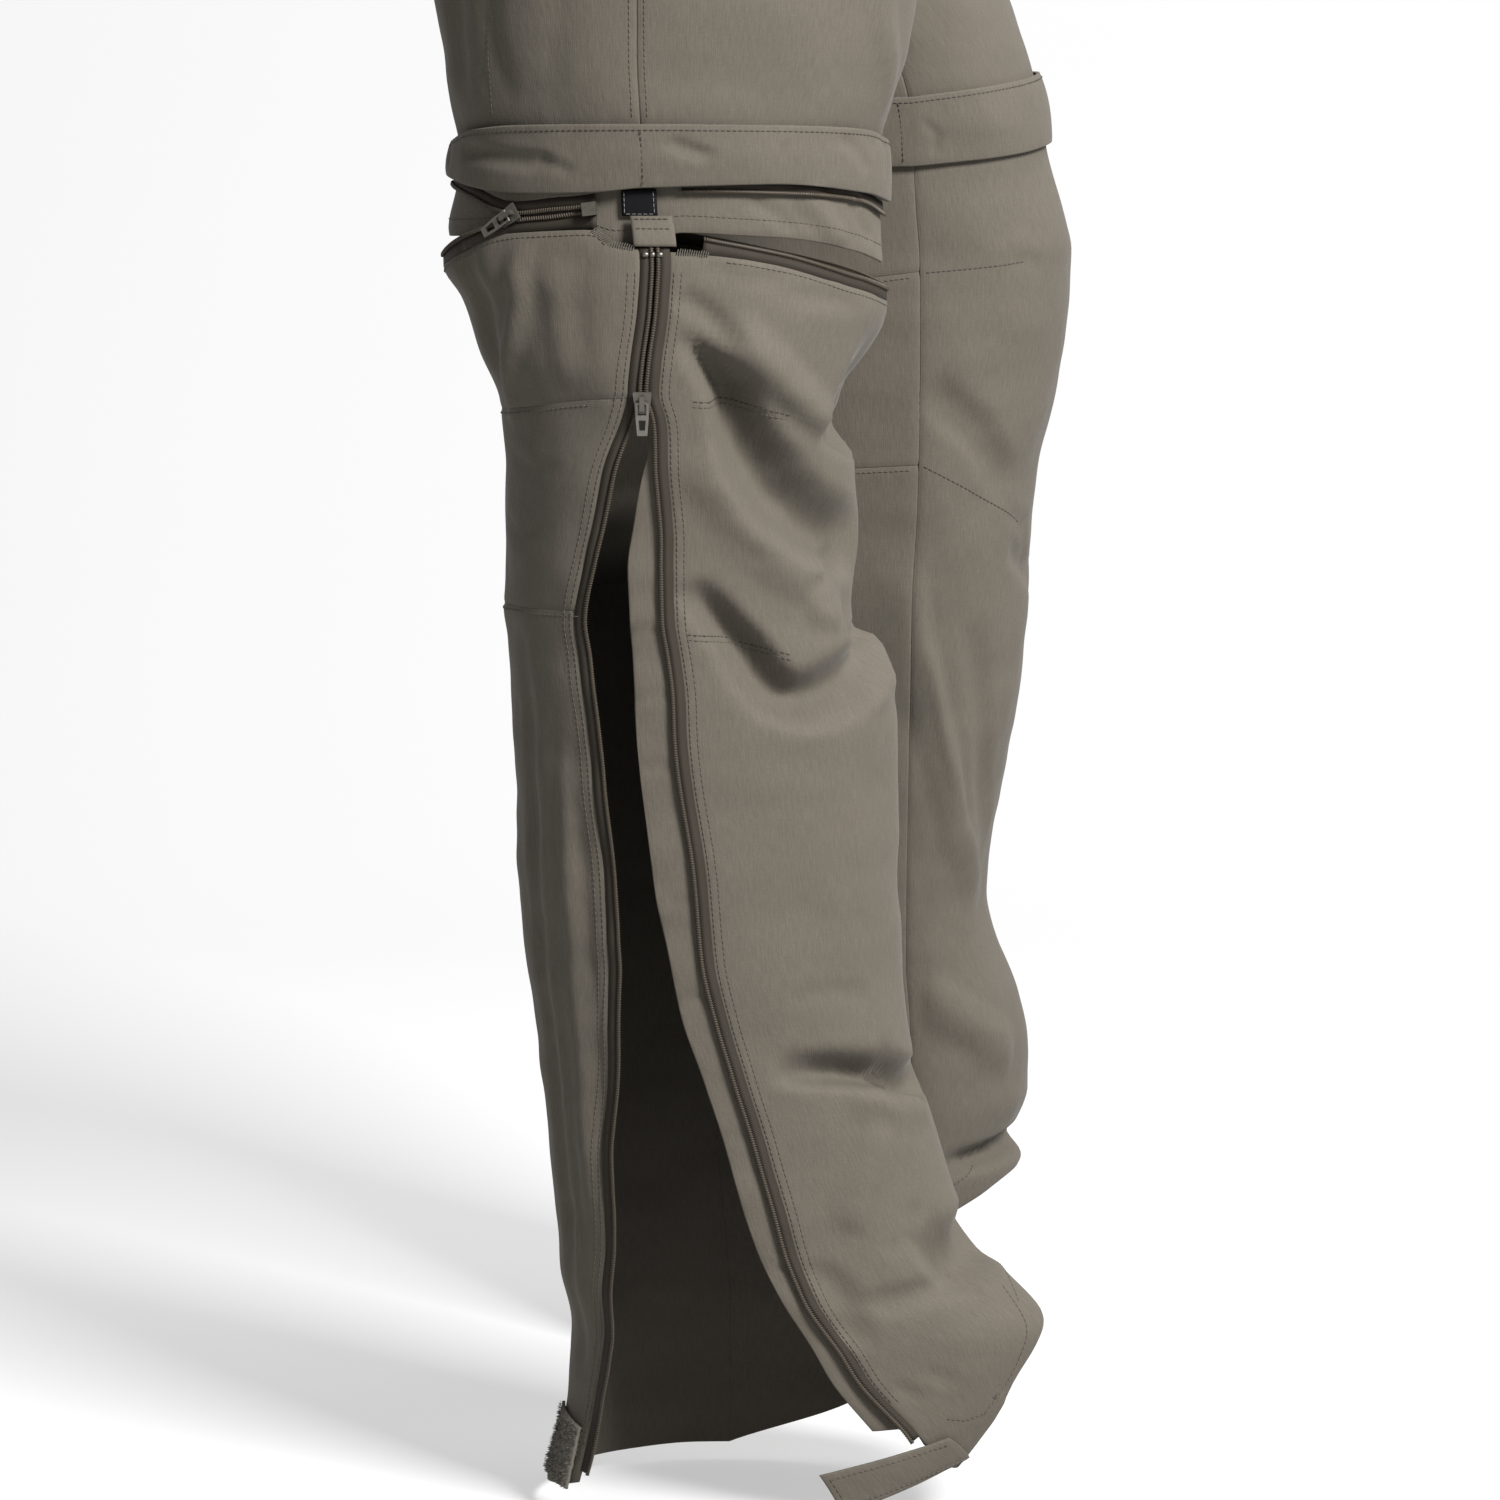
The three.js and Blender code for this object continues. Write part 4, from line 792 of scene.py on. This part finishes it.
def fly_piece():
    """The fly's flap, whose lower end curves back to the middle."""
    xs = np.linspace(-9, 36, 16)
    heights = np.linspace(1009, 898, 36)
    outside = np.zeros((len(xs), len(heights), 3))
    inside = np.zeros_like(outside)
    for i, start in enumerate(xs):
        low = np.maximum(0, (930 - heights) / 32)
        x = start - (start * 0.62 * low * low if start > 0 else 0)
        side, angle = front_place(x, heights)
        rise = 2.1 + np.maximum(0, 930 - heights) * 0.03
        for leg, wanted in ((right_thigh, -1), (left_leg, 1)):
            chosen = side == wanted
            if chosen.any():
                outside[i, chosen] = leg.lifted(angle[chosen], heights[chosen], rise[chosen])
                inside[i, chosen] = leg.lifted(angle[chosen], heights[chosen], rise[chosen] - CLOTH_WALL)
    uvs = np.stack([np.repeat(xs, len(heights)) / 1000, np.tile(heights, len(xs)) / 1000], -1)
    made = shell("cloth_fly_flap", outside, inside, uvs, [CLOTH, LINING])
    finish_piece(made, ["fly_flap"])


fly_piece()


def ring_piece(name, node_name, leg, top_of, bottom_of, tall, lift, wall, step=2.2):
    """A band of cloth all round a leg."""
    angle = np.linspace(-180, 180, 221)[:-1][:, None]
    t = spaced(tall, step)[None, :]
    height = top_of(angle) + t * (bottom_of(angle) - top_of(angle))
    rise = lift(angle, t) if callable(lift) else lift
    cloth_piece(name, [node_name], leg, angle + 0 * t, height, wall, rise, ring=True, soft=(0, 0, 0.5, 0.5))


def puffed(most):
    """How far a flap stands off the leg: most in its middle."""
    return lambda angle, t: 2.8 + most * np.sin(np.pi * (0.15 + 0.7 * t)) + 0 * angle


ring_piece("cloth_hem_guard_right", "hem_guard_right", right_thigh, constant(646), edge(GUARD_HEM), 50,
           -2.3, 1.2)
ring_piece("cloth_cuff_flap_right", "cuff_flap_right", right_thigh, edge(RIGHT_FLAP_TOP),
           edge(RIGHT_FLAP_BOTTOM), 30, puffed(2.2), DOUBLE_WALL, 1.6)
ring_piece("cloth_cuff_flap_left", "cuff_flap_left", left_leg, edge(LEFT_FLAP_TOP),
           edge(LEFT_FLAP_BOTTOM), 34, puffed(1.6), DOUBLE_WALL, 1.6)


# The right lower leg.
def front_edge(height):
    return right_lower.away(side_curves["front_row"](height), height, COIL_SPACING + TAPE_REACH - LAP)


def back_edge(height):
    return right_lower.away(side_curves["back_row"](height) - 0.01, height, -COIL_SPACING - TAPE_REACH + LAP)


top_edge = edge(RIGHT_TOP)
hem_edge = edge(RIGHT_HEM)
inseam = constant(INSEAM_ANGLE)
back_inseam = constant(-INSEAM_ANGLE)
panel("cloth_lower_front_right", ["lower_front_right"], right_lower, front_edge, inseam, top_edge, hem_edge,
      (260, 560), 3.0)
for part, top, bottom, tall in (
    ("top", top_edge, edge(RIGHT_SEAM_HIGH), 76),
    ("knee", edge(RIGHT_SEAM_HIGH, LAP), edge(RIGHT_SEAM_LOW), 96),
    ("bottom", edge(RIGHT_SEAM_LOW, LAP), hem_edge, 420),
):
    panel(f"cloth_lower_back_{part}_right", [f"lower_back_{part}_right"], right_lower, back_edge, back_inseam,
          top, bottom, (190, tall), 3.0)

# The left lower leg.
left_top = edge(LEFT_ZIP_LINE, -TAPE_REACH + LAP)
left_hem = edge(LEFT_HEM)


def left_front_edge(height):
    return left_leg.away(0, height, SIDE_GAP - SEAM_GAP - LAP)


def left_back_edge(height):
    return left_leg.away(-0.01, height, -SIDE_GAP + SEAM_GAP + LAP)


panel("cloth_lower_front_left", ["lower_front_left"], left_leg, left_front_edge, inseam, left_top, left_hem,
      (260, 570), 3.2)
for part, top, bottom, tall in (
    ("top", left_top, edge(LEFT_SEAM_HIGH), 60),
    ("knee", edge(LEFT_SEAM_HIGH, LAP), edge(LEFT_SEAM_LOW), 94),
    ("bottom", edge(LEFT_SEAM_LOW, LAP), left_hem, 430),
):
    panel(f"cloth_lower_back_{part}_left", [f"lower_back_{part}_left"], left_leg, left_back_edge, back_inseam,
          top, bottom, (210, tall), 3.2)


# Lines on a leg, and the bands, zip rows and stitches along them.
class Line:
    """Points along a line of angles and heights on a leg, with the cloth's outward and across directions."""

    def __init__(self, leg, angle, height, step, lift=0.0):
        angle, height = np.broadcast_arrays(np.asarray(angle, float), np.asarray(height, float))
        fine = np.linspace(0, 1, 900)
        known = np.linspace(0, 1, len(angle))
        angle = np.interp(fine, known, angle)
        height = np.interp(fine, known, height)
        points = leg.lifted(angle, height, np.full(angle.shape, float(lift)))
        along = np.concatenate([[0], np.cumsum(np.linalg.norm(np.diff(points, axis=0), axis=-1))])
        length = float(along[-1])
        self.s = np.linspace(0, length, max(2, int(round(length / step)) + 1))
        self.angle = np.interp(self.s, along, angle)
        self.height = np.interp(self.s, along, height)
        self.points = np.stack([np.interp(self.s, along, points[:, k]) for k in range(3)], -1)
        self.normal = leg.normal(leg.cloth, self.angle, self.height, 0.6)
        self.tangent = np.gradient(self.points, axis=0)
        self.tangent /= np.linalg.norm(self.tangent, axis=-1, keepdims=True)
        self.across = np.cross(self.normal, self.tangent)
        self.across /= np.linalg.norm(self.across, axis=-1, keepdims=True)
        self.normal = np.cross(self.tangent, self.across)


def band(line, corners):
    """Points, faces and uvs of a band with a section of [across, lift] corners, which can differ along it."""
    corners = np.asarray(corners, float)
    if corners.ndim == 2:
        corners = np.repeat(corners[None], len(line.s), 0)
    points = line.points[:, None] + corners[..., :1] * line.across[:, None]
    points = points + corners[..., 1:] * line.normal[:, None]
    rows, count = corners.shape[:2]
    faces = []
    for k in range(rows - 1):
        for i in range(count):
            a, b = k * count + i, k * count + (i + 1) % count
            faces.append((a, b, b + count, a + count))
    faces.append(tuple(range(count - 1, -1, -1)))
    faces.append(tuple((rows - 1) * count + i for i in range(count)))
    girth = np.concatenate([[0], np.cumsum(np.linalg.norm(np.diff(corners[0], axis=0), axis=-1))])
    uvs = np.stack([np.tile(girth, rows), np.repeat(line.s, count)], -1) / 1000
    points = points.reshape(-1, 3)
    return points, right_way_out(points, faces), uvs


class Joined:
    """Several closed shapes collected into one mesh."""

    def __init__(self):
        self.points, self.faces, self.uvs, self.kinds = [], [], [], []
        self.count = 0

    def add(self, points, faces, uvs=None, kind=0):
        self.points.append(points)
        self.uvs.append(uvs if uvs is not None else np.zeros((len(points), 2)))
        self.faces.extend(tuple(i + self.count for i in face) for face in faces)
        self.kinds.extend([kind] * len(faces))
        self.count += len(points)

    def make(self, name, materials, nodes=()):
        points, uvs = np.concatenate(self.points), np.concatenate(self.uvs)
        finish_piece(make_object(name, points, self.faces, uvs, materials, self.kinds), nodes)


SIDES = 6
ROUND = [(math.cos(2 * math.pi * i / SIDES), math.sin(2 * math.pi * i / SIDES)) for i in range(SIDES)]


def pill(centre, long_way, side_way, up, long, wide, tall):
    """A small rounded bar, for a stitch or a zip tooth."""
    points, faces = [], []
    for end, size in ((-0.5, 0.45), (-0.3, 1.0), (0.3, 1.0), (0.5, 0.45)):
        for x, y in ROUND:
            sideways = side_way * (x * wide / 2 * size)
            points.append(centre + long_way * (end * long) + sideways + up * (y * tall / 2 * size))
    for k in range(3):
        for i in range(SIDES):
            a, b = k * SIDES + i, k * SIDES + (i + 1) % SIDES
            faces.append((a, b, b + SIDES, a + SIDES))
    faces.append(tuple(range(SIDES - 1, -1, -1)))
    faces.append(tuple(3 * SIDES + i for i in range(SIDES)))
    return np.array(points), faces


STITCH_STEP = 2.7
STITCH_LONG = 2.0
TOOTH_STEP = 1.15
TAPE_LOW = -1.25
TAPE_HIGH = -0.35
ZIP_TOP = 597


def stitches(joined, leg, angle, height, lift=0.15, wide=0.5, tall=0.45, kind=0):
    """A row of stitches along a line on a leg."""
    line = Line(leg, angle, height, STITCH_STEP, lift)
    middles = (line.points[:-1] + line.points[1:]) / 2
    for k, centre in enumerate(middles):
        jitter = random.uniform(-0.06, 0.06)
        way = line.tangent[k] + line.across[k] * jitter
        shape = pill(centre, way, line.across[k], line.normal[k], STITCH_LONG, wide, tall)
        joined.add(*shape, kind=kind)


def zip_row(name, node_name, leg, angle, height, towards, reach):
    """One row of a zip: its tape, and the coil's core and turns. towards is the tape's side of the coil."""
    line = Line(leg, angle, height, 2.2)
    reach = np.atleast_1d(reach)
    reach = np.interp(np.linspace(0, 1, len(line.s)), np.linspace(0, 1, len(reach)), reach)
    joined = Joined()
    near, far = np.full(len(line.s), 0.3 * towards), reach * towards
    corners = ((near, TAPE_LOW), (far, TAPE_LOW), (far, -0.45), (near, TAPE_HIGH))
    tape = np.stack([np.stack([place, np.full(len(near), lift)], -1) for place, lift in corners], 1)
    if towards < 0:
        tape = tape[:, ::-1]
    joined.add(*band(line, tape), kind=0)
    core = [(0.62 * x * COIL_HALF + 0.1 * towards, 0.62 * y - 0.05) for x, y in ROUND]
    joined.add(*band(line, core), kind=1)
    turns = Line(leg, angle, height, TOOTH_STEP)
    for k in range(len(turns.s)):
        way = turns.across[k] + turns.tangent[k] * 0.18 * towards
        centre = turns.points[k] + turns.normal[k] * 0.18 + turns.across[k] * (0.12 * towards)
        joined.add(*pill(centre, way, turns.tangent[k], turns.normal[k], 2.15, 0.72, 1.35), kind=1)
    joined.make(name, [TAPE, COIL], [node_name])


def knee_line(table_edge, first, last):
    angle = np.linspace(first, last, 240)
    return angle, table_edge(angle)


angle, height = knee_line(upper_row, 9, 346)
zip_row("zip_knee_upper_right", "knee_zip_upper_right", right_thigh, angle, height, 1, TAPE_REACH)
angle, height = knee_line(lower_row, 13, 346)
reach = (height - top_edge(angle)) + 0.3
zip_row("zip_knee_lower_right", "knee_zip_lower_right", right_lower, angle, height, -1, reach)

for part, low, shift, towards in (("front", 40, 0, 1), ("back", 20, -0.01, -1)):
    heights = np.linspace(ZIP_TOP, low, 240)
    row = side_curves[f"{part}_row"](heights) + shift
    angle = right_lower.away(row, heights, COIL_SPACING * towards)
    slope = np.gradient(right_lower.smooth(angle, heights), axis=0)
    steep = np.abs(slope[:, 2]) / np.linalg.norm(slope, axis=-1)
    zip_row(f"zip_side_{part}_right", f"side_zip_{part}_right", right_lower, angle, heights, towards,
            TAPE_REACH * steep + LAP)


def closed_zip(name, node_name, leg, angle, height, reach):
    """A zip that is run shut: tape on both sides and two coils side by side."""
    line = Line(leg, angle, height, 2.6)
    joined = Joined()
    tape = [(-reach, TAPE_LOW), (reach, TAPE_LOW), (reach, TAPE_HIGH), (-reach, TAPE_HIGH)]
    joined.add(*band(line, tape), kind=0)
    turns = Line(leg, angle, height, TOOTH_STEP)
    for k in range(len(turns.s)):
        towards = 1 if k % 2 else -1
        centre = turns.points[k] + turns.normal[k] * 0.1 + turns.across[k] * (0.75 * towards)
        shape = pill(centre, turns.across[k], turns.tangent[k], turns.normal[k], 2.5, 0.85, 1.2)
        joined.add(*shape, kind=1)
    joined.make(name, [TAPE, COIL], [node_name])


ring_angles = np.linspace(-180, 179.6, 200)
ring_heights = edge(LEFT_ZIP_LINE)(ring_angles)
closed_zip("zip_knee_left", "knee_zip_left", left_leg, ring_angles, ring_heights, TAPE_REACH)
heights = np.linspace(float(left_top(0)) - 1.8, float(left_hem(0)) + 1, 200)
closed_zip("zip_side_left", "side_zip_left", left_leg, 0 * heights, heights, SIDE_GAP - SEAM_GAP)


def grid_piece(name, nodes, leg, angle, height, lift, wall, **options):
    cloth_piece(name, nodes, leg, angle, height, wall, lift, soft=(0.6,) * 4, **options)


# The guard strip behind the side zip's front row.
STRIP_TOP = 507
STRIP_BOTTOM = 46
t = spaced(460, 3.0)[None, :]
u = spaced(17, 1.6, (0.6, 1.4))[:, None]
height = STRIP_TOP - t * (STRIP_TOP - STRIP_BOTTOM) + 0 * u
start = right_lower.away(side_curves["front_row"](height), height, 9)
angle = start + u * (side_curves["guard_edge"](height) - start)
wrinkle = 0.5 * np.sin(height / 5.1 + 1.7 * np.sin(height / 23)) * u ** 2
STRIP_CREASES = [[425, 1.3], [395, 1.0], [362, 1.2], [300, 0.8], [255, 1.1], [190, 0.8], [128, 1.2]]
for crease_height, crease_size in STRIP_CREASES:
    crease = crease_size * np.exp(-((height + 5 * u - crease_height) / 2.2) ** 2)
    wrinkle = wrinkle - crease * (0.35 + 0.65 * u)
grid_piece("cloth_placket_right", ["placket_right"], right_lower, angle, height,
           -2.4 - np.maximum(0, 110 - height) * 0.02 + wrinkle, 1.2)

# The tabs and straps.
u = np.linspace(0, 1, 14)[:, None]
t = np.linspace(0, 1, 12)[None, :]
angle, height = -6.6 + 9.6 * u + 0 * t, 622.6 - 12 * t + 0 * u
grid_piece("tape_black_tab_right", ["black_tab_right"], right_thigh, angle, height, 0.4, 1.6,
           materials=[BLACK], slot="black", sheet=False)
angle, height = -4.6 + 10.6 * u + 0 * t, 610.6 - 13.6 * t + 0 * u
grid_piece("cloth_top_tab_right", ["top_tab_right"], right_lower, angle, height, 1.6, 1.2)


def between(corners, u, t):
    """Angles and heights inside four corners: start upper, start lower, end upper, end lower."""
    mix = []
    for a, b, c, d in zip(*corners):
        mix.append((a * (1 - t) + b * t) * (1 - u) + (c * (1 - t) + d * t) * u)
    return mix


STRAP_CORNERS = [[46, 41], [58.5, 29], [11.5, 28], [19, 9]]
u = spaced(58, 2.0)[:, None]
t = spaced(22, 1.6)[None, :]
angle, height = between(STRAP_CORNERS, u, t)
strap_lift = 2.3 + np.clip((50 - angle) * 0.1, 0, 0.9)
grid_piece("cloth_hem_tab_right", ["hem_tab_right"], right_lower, angle, height, strap_lift, 1.8)
angle = -26 + 70 * u + 0 * t
height = 56 - 20 * u - t * 24
grid_piece("cloth_hem_tab_left", ["hem_tab_left"], left_leg, angle, height, 2.4, 1.8)


LOOP_COUNT = 1500


def loop_patch():
    """The soft half of the strap's fastening: a pad with short fuzzy loops."""
    columns, rows = 22, 26

    def place(u, t):
        return -88 + u * 24 + 0 * t, 47 - u * 6 + t * (u * 2 - 32)

    angle, height = place(np.linspace(0, 1, columns)[:, None], np.linspace(0, 1, rows)[None, :])
    lump = np.array([[random.uniform(-0.25, 0.25) for _ in range(rows)] for _ in range(columns)])
    grid_piece("loop_patch_pad_right", ["loop_patch_right"], right_lower, angle, height, 2.6 + lump, 1.8,
               materials=[FUZZ], slot="fuzz", sheet=False)
    joined = Joined()
    across = np.array([random.random() for _ in range(LOOP_COUNT)])
    along = np.array([random.random() for _ in range(LOOP_COUNT)])
    angle, height = place(across, along)
    roots = right_lower.lifted(angle, height, np.full(LOOP_COUNT, 2.4))
    outward = right_lower.normal(right_lower.cloth, angle, height, 0.6)
    for root, out in zip(roots, outward):
        lean = np.array([random.uniform(-1, 1) for _ in range(3)])
        way = out + 0.9 * lean
        way = way / np.linalg.norm(way)
        side = np.cross(way, lean)
        side = side / max(np.linalg.norm(side), 1e-6)
        long = random.uniform(0.9, 2.2)
        tip = root + way * long
        bend = root + way * long * 0.5 + out * 0.25
        wide, narrow = side * 0.16, side * 0.13
        points = np.array([root + wide, root - wide, bend + narrow, bend - narrow, tip])
        joined.add(points, [(0, 1, 3, 2), (2, 3, 4)])
    joined.make("loop_patch_fuzz_right", [FUZZ])


loop_patch()


# Stitching. Kinds: 0 matches the cloth, 1 is darker.
random.seed(11)
seams = Joined()


FLAP_LIFTS = (4.3, 3.95)
EDGE_ROWS = (2.0, 5.4)
SEAM_DEPTH = 2.2
HEM_DEPTH = -19
TAB_LIFT = 3.35
KNEE_SEAM_PATHS = ([[12, 527], [26, 525], [41.8, 519.3]], [[14, 420], [26, 417], [39.5, 408.8]])
LEFT_SEAM_PATHS = ([[178, 568], [158, 570], [137.8, 572.1]], [[178, 472], [150, 456], [119, 439.8]])


def sew(leg, angle, height, lift=0.15, **options):
    stitches(seams, leg, angle, height, lift, **options)


def sew_level(leg, table_edge, first, last, down, lift=0.15, **options):
    """A row that follows an edge, at a distance below it, or above it where the distance is minus."""
    angle = np.linspace(first, last, 160)
    sew(leg, angle, table_edge(angle) - down, lift, **options)


def sew_upright(leg, first, last, angle_of, **options):
    """A row that runs down the leg."""
    height = np.linspace(first, last, 160)
    sew(leg, angle_of(height) + 0 * height, height, **options)


for distance in (-3.4, 3.4):
    for leg, low in ((right_thigh, 655), (left_leg, 662)):
        sew_upright(leg, 1006, low, lambda height: leg.away(0.01 * np.sign(distance), height, distance))
sew_upright(right_thigh, 760, 655, lambda height: -44 - (760 - height) * 0.055, wide=0.4)
for table, leg, lift in zip((RIGHT_FLAP_TOP, LEFT_FLAP_TOP), (right_thigh, left_leg), FLAP_LIFTS):
    sew_level(leg, edge(table), -180, 180, 2.4, lift, kind=1)
along = np.linspace(0, 1, 40)
flap_top, flap_low = float(edge(RIGHT_FLAP_TOP)(0)), float(edge(RIGHT_FLAP_BOTTOM)(0))
sew(right_thigh, 0 * along, flap_top - 2 + along * (flap_low - flap_top + 3), 4.9, kind=1)
sew(left_leg, 0 * along - 178, 653 - along * 30, 4.3, kind=1)
sew_level(right_thigh, edge(GUARD_HEM), -180, 180, -8, -2.15, wide=0.4)
sew_level(right_lower, top_edge, 18, 348, 2.4)
for towards, place_of, low in ((1, front_edge, 60), (-1, back_edge, 26)):
    for inward in EDGE_ROWS:
        sew_upright(right_lower, 586, low, lambda h: right_lower.away(place_of(h), h, inward * towards))
for table in (RIGHT_SEAM_HIGH, RIGHT_SEAM_LOW):
    sew_level(right_lower, edge(table), -176, -22, SEAM_DEPTH)
for points in KNEE_SEAM_PATHS:
    angles = [point[0] for point in points]
    sew(right_lower, angles, [point[1] for point in points], kind=1)
    sew(right_lower, angles, [point[1] - 2.4 for point in points], wide=0.35)
sew_level(right_lower, hem_edge, 76, 176, HEM_DEPTH)
sew(right_lower, [44, 50, 56, 62, 68, 76], [50, 48, 50, 62, 84, 107])
sew_level(right_lower, hem_edge, -176, -60, HEM_DEPTH)
for table in (LEFT_SEAM_HIGH, LEFT_SEAM_LOW):
    sew_level(left_leg, edge(table), -178, -10, SEAM_DEPTH)
for points in LEFT_SEAM_PATHS:
    sew(left_leg, [point[0] for point in points], [point[1] for point in points], kind=1)
sew_level(left_leg, left_hem, -178, 178, HEM_DEPTH)
for distance, place_of in ((2.0, left_front_edge), (-2.0, left_back_edge)):
    sew_upright(left_leg, 612, 62, lambda h: left_leg.away(place_of(h), h, distance))
for row in (0.14, 0.86):
    sew(right_lower, *between(STRAP_CORNERS, np.linspace(0.05, 0.95, 40), np.full(40, row)), TAB_LIFT)
sew(right_lower, *between(STRAP_CORNERS, np.full(20, 0.95), np.linspace(0.1, 0.9, 20)), TAB_LIFT)
for row in (609, 604.5):
    sew(right_lower, [-3.6, 5], [row, row], 1.8, kind=1)
for row in (WAIST_HEIGHT - 3, WAIST_HEIGHT - WAISTBAND_DEPTH + 3):
    sew(right_thigh, np.linspace(-89, 74, 120), np.full(120, float(row)), 0.1)
    sew(left_leg, np.linspace(-89, 80, 120), np.full(120, float(row)), 0.1)
seams.make("seam_stitching", [THREAD, DARK_THREAD])

# The metal stop at the side zip's top.
stop = Joined()
for sideways in (-2.6, 0.0, 2.6):
    middle = sideways / MM_PER_DEGREE
    line = Line(right_lower, [middle - 1.0, middle + 1.2], [593.4, 593.4], 1.0, 0.6)
    k = len(line.s) // 2
    long = 3.0 if sideways else 2.4
    stop.add(*pill(line.points[k], line.tangent[k], line.across[k], line.normal[k], long, 2.6, 1.8))
stop.make("zip_top_stop", [METAL])

# The grey stitches at the black tab's edges.
light_seams = Joined()
for angles, heights in (
    ([-5.8, -5.8], [621.6, 611.6]), ([2.2, 2.2], [621.6, 611.6]), ([-5.6, 2], [611.4, 611.4]),
):
    stitches(light_seams, right_thigh, angles, heights, 0.5, wide=0.3, tall=0.3)
light_seams.make("tab_stitching", [plain_material("grey_thread", (0.12, 0.12, 0.12), 0.7)])

# Overlocked raw edges at the notch beside the side zip's top.
overlock = Joined()
for angles, heights in (
    ([-15, -12, -10.5, -7, -4.6], [604.2, 600.6, 598.2, 597.2, 596.4]),
    ([6.2, 9, 13.5], [594.6, 594.4, 593.4]),
):
    line = Line(right_lower, angles, heights, 1.1, 0.2)
    for k in range(len(line.s)):
        way = line.across[k] + 0.25 * line.tangent[k]
        long = random.uniform(2.4, 3.4)
        overlock.add(*pill(line.points[k], way, line.tangent[k], line.normal[k], long, 0.55, 0.6))
overlock.make("overlock_edges", [THREAD])

# Hard pieces keep their solids and take their finishes.
for node_name, finish in (
    ("knee_slider_right", METAL), ("side_slider_right", METAL), ("side_slider_left", METAL),
    ("knee_zip_box_right", METAL), ("knee_pull_right", PULL), ("side_pull_right", PULL),
    ("side_pull_left", PULL), ("waist_button", BUTTON),
):
    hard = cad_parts[node_name]
    hard.data.materials.clear()
    hard.data.materials.append(finish)
    hard.data.polygons.foreach_set("material_index", np.zeros(len(hard.data.polygons), np.int32))

# Ground, light and camera.
PHOTO_SIDE = 1500
PHOTO_FOCAL = 5586
SENSOR = 36
SWEEP_STEPS = 24
FLOOR_Z = -WAIST_HEIGHT / 1000 - 0.001
SWEEP_RADIUS = 1.2
SWEEP_START = 1.2
profile = [(-8, 0.0)]
for i in range(SWEEP_STEPS + 1):
    turn = math.pi / 2 * i / SWEEP_STEPS
    profile.append((SWEEP_START + SWEEP_RADIUS * math.sin(turn), SWEEP_RADIUS * (1 - math.cos(turn))))
profile.append((SWEEP_START + SWEEP_RADIUS, 6))
ground_points = [(x, y, FLOOR_Z + z) for x, z in profile for y in (-9, 9)]
ground_faces = [(2 * i, 2 * i + 2, 2 * i + 3, 2 * i + 1) for i in range(len(profile) - 1)]
floor_mesh = bpy.data.meshes.new("floor")
floor_mesh.from_pydata(ground_points, [], ground_faces)
floor_mesh.materials.append(WHITE)
floor_mesh.polygons.foreach_set("use_smooth", np.ones(len(ground_faces), bool))
floor = bpy.data.objects.new("floor", floor_mesh)
bpy.context.collection.objects.link(floor)

world = bpy.data.worlds.new("studio")
bpy.context.scene.world = world
world.use_nodes = True
world.node_tree.nodes["Background"].inputs["Color"].default_value = (1, 1, 1, 1)
world.node_tree.nodes["Background"].inputs["Strength"].default_value = 0.35
bpy.context.scene.view_settings.view_transform = "Standard"


def area_light(name, place, target, size, power):
    data = bpy.data.lights.new(name, "AREA")
    data.shape = "RECTANGLE"
    data.size, data.size_y = size
    data.energy = power
    light = bpy.data.objects.new(name, data)
    light.location = place
    light.rotation_euler = (Vector(target) - Vector(place)).to_track_quat("-Z", "Y").to_euler()
    bpy.context.collection.objects.link(light)


area_light("key", (-1.7, -1.5, 1.2), (-0.1, 0, -0.7), (0.8, 0.8), 232)
area_light("top", (0.2, -0.8, 2.0), (0, 0, -0.8), (1.2, 1.2), 50)

camera_data = bpy.data.cameras.new("photo_camera")
camera_data.lens = SENSOR * PHOTO_FOCAL / PHOTO_SIDE
camera_data.sensor_width = SENSOR
camera_data.clip_end = 100
camera = bpy.data.objects.new("photo_camera", camera_data)
camera.location = (-2.710, -0.024, 0.780 - WAIST_HEIGHT / 1000)
look_at = Vector((-0.110, -0.024, 0.355 - WAIST_HEIGHT / 1000))
camera.rotation_euler = (look_at - camera.location).to_track_quat("-Z", "Y").to_euler()
bpy.context.collection.objects.link(camera)
bpy.context.scene.camera = camera

bpy.context.view_layer.update()
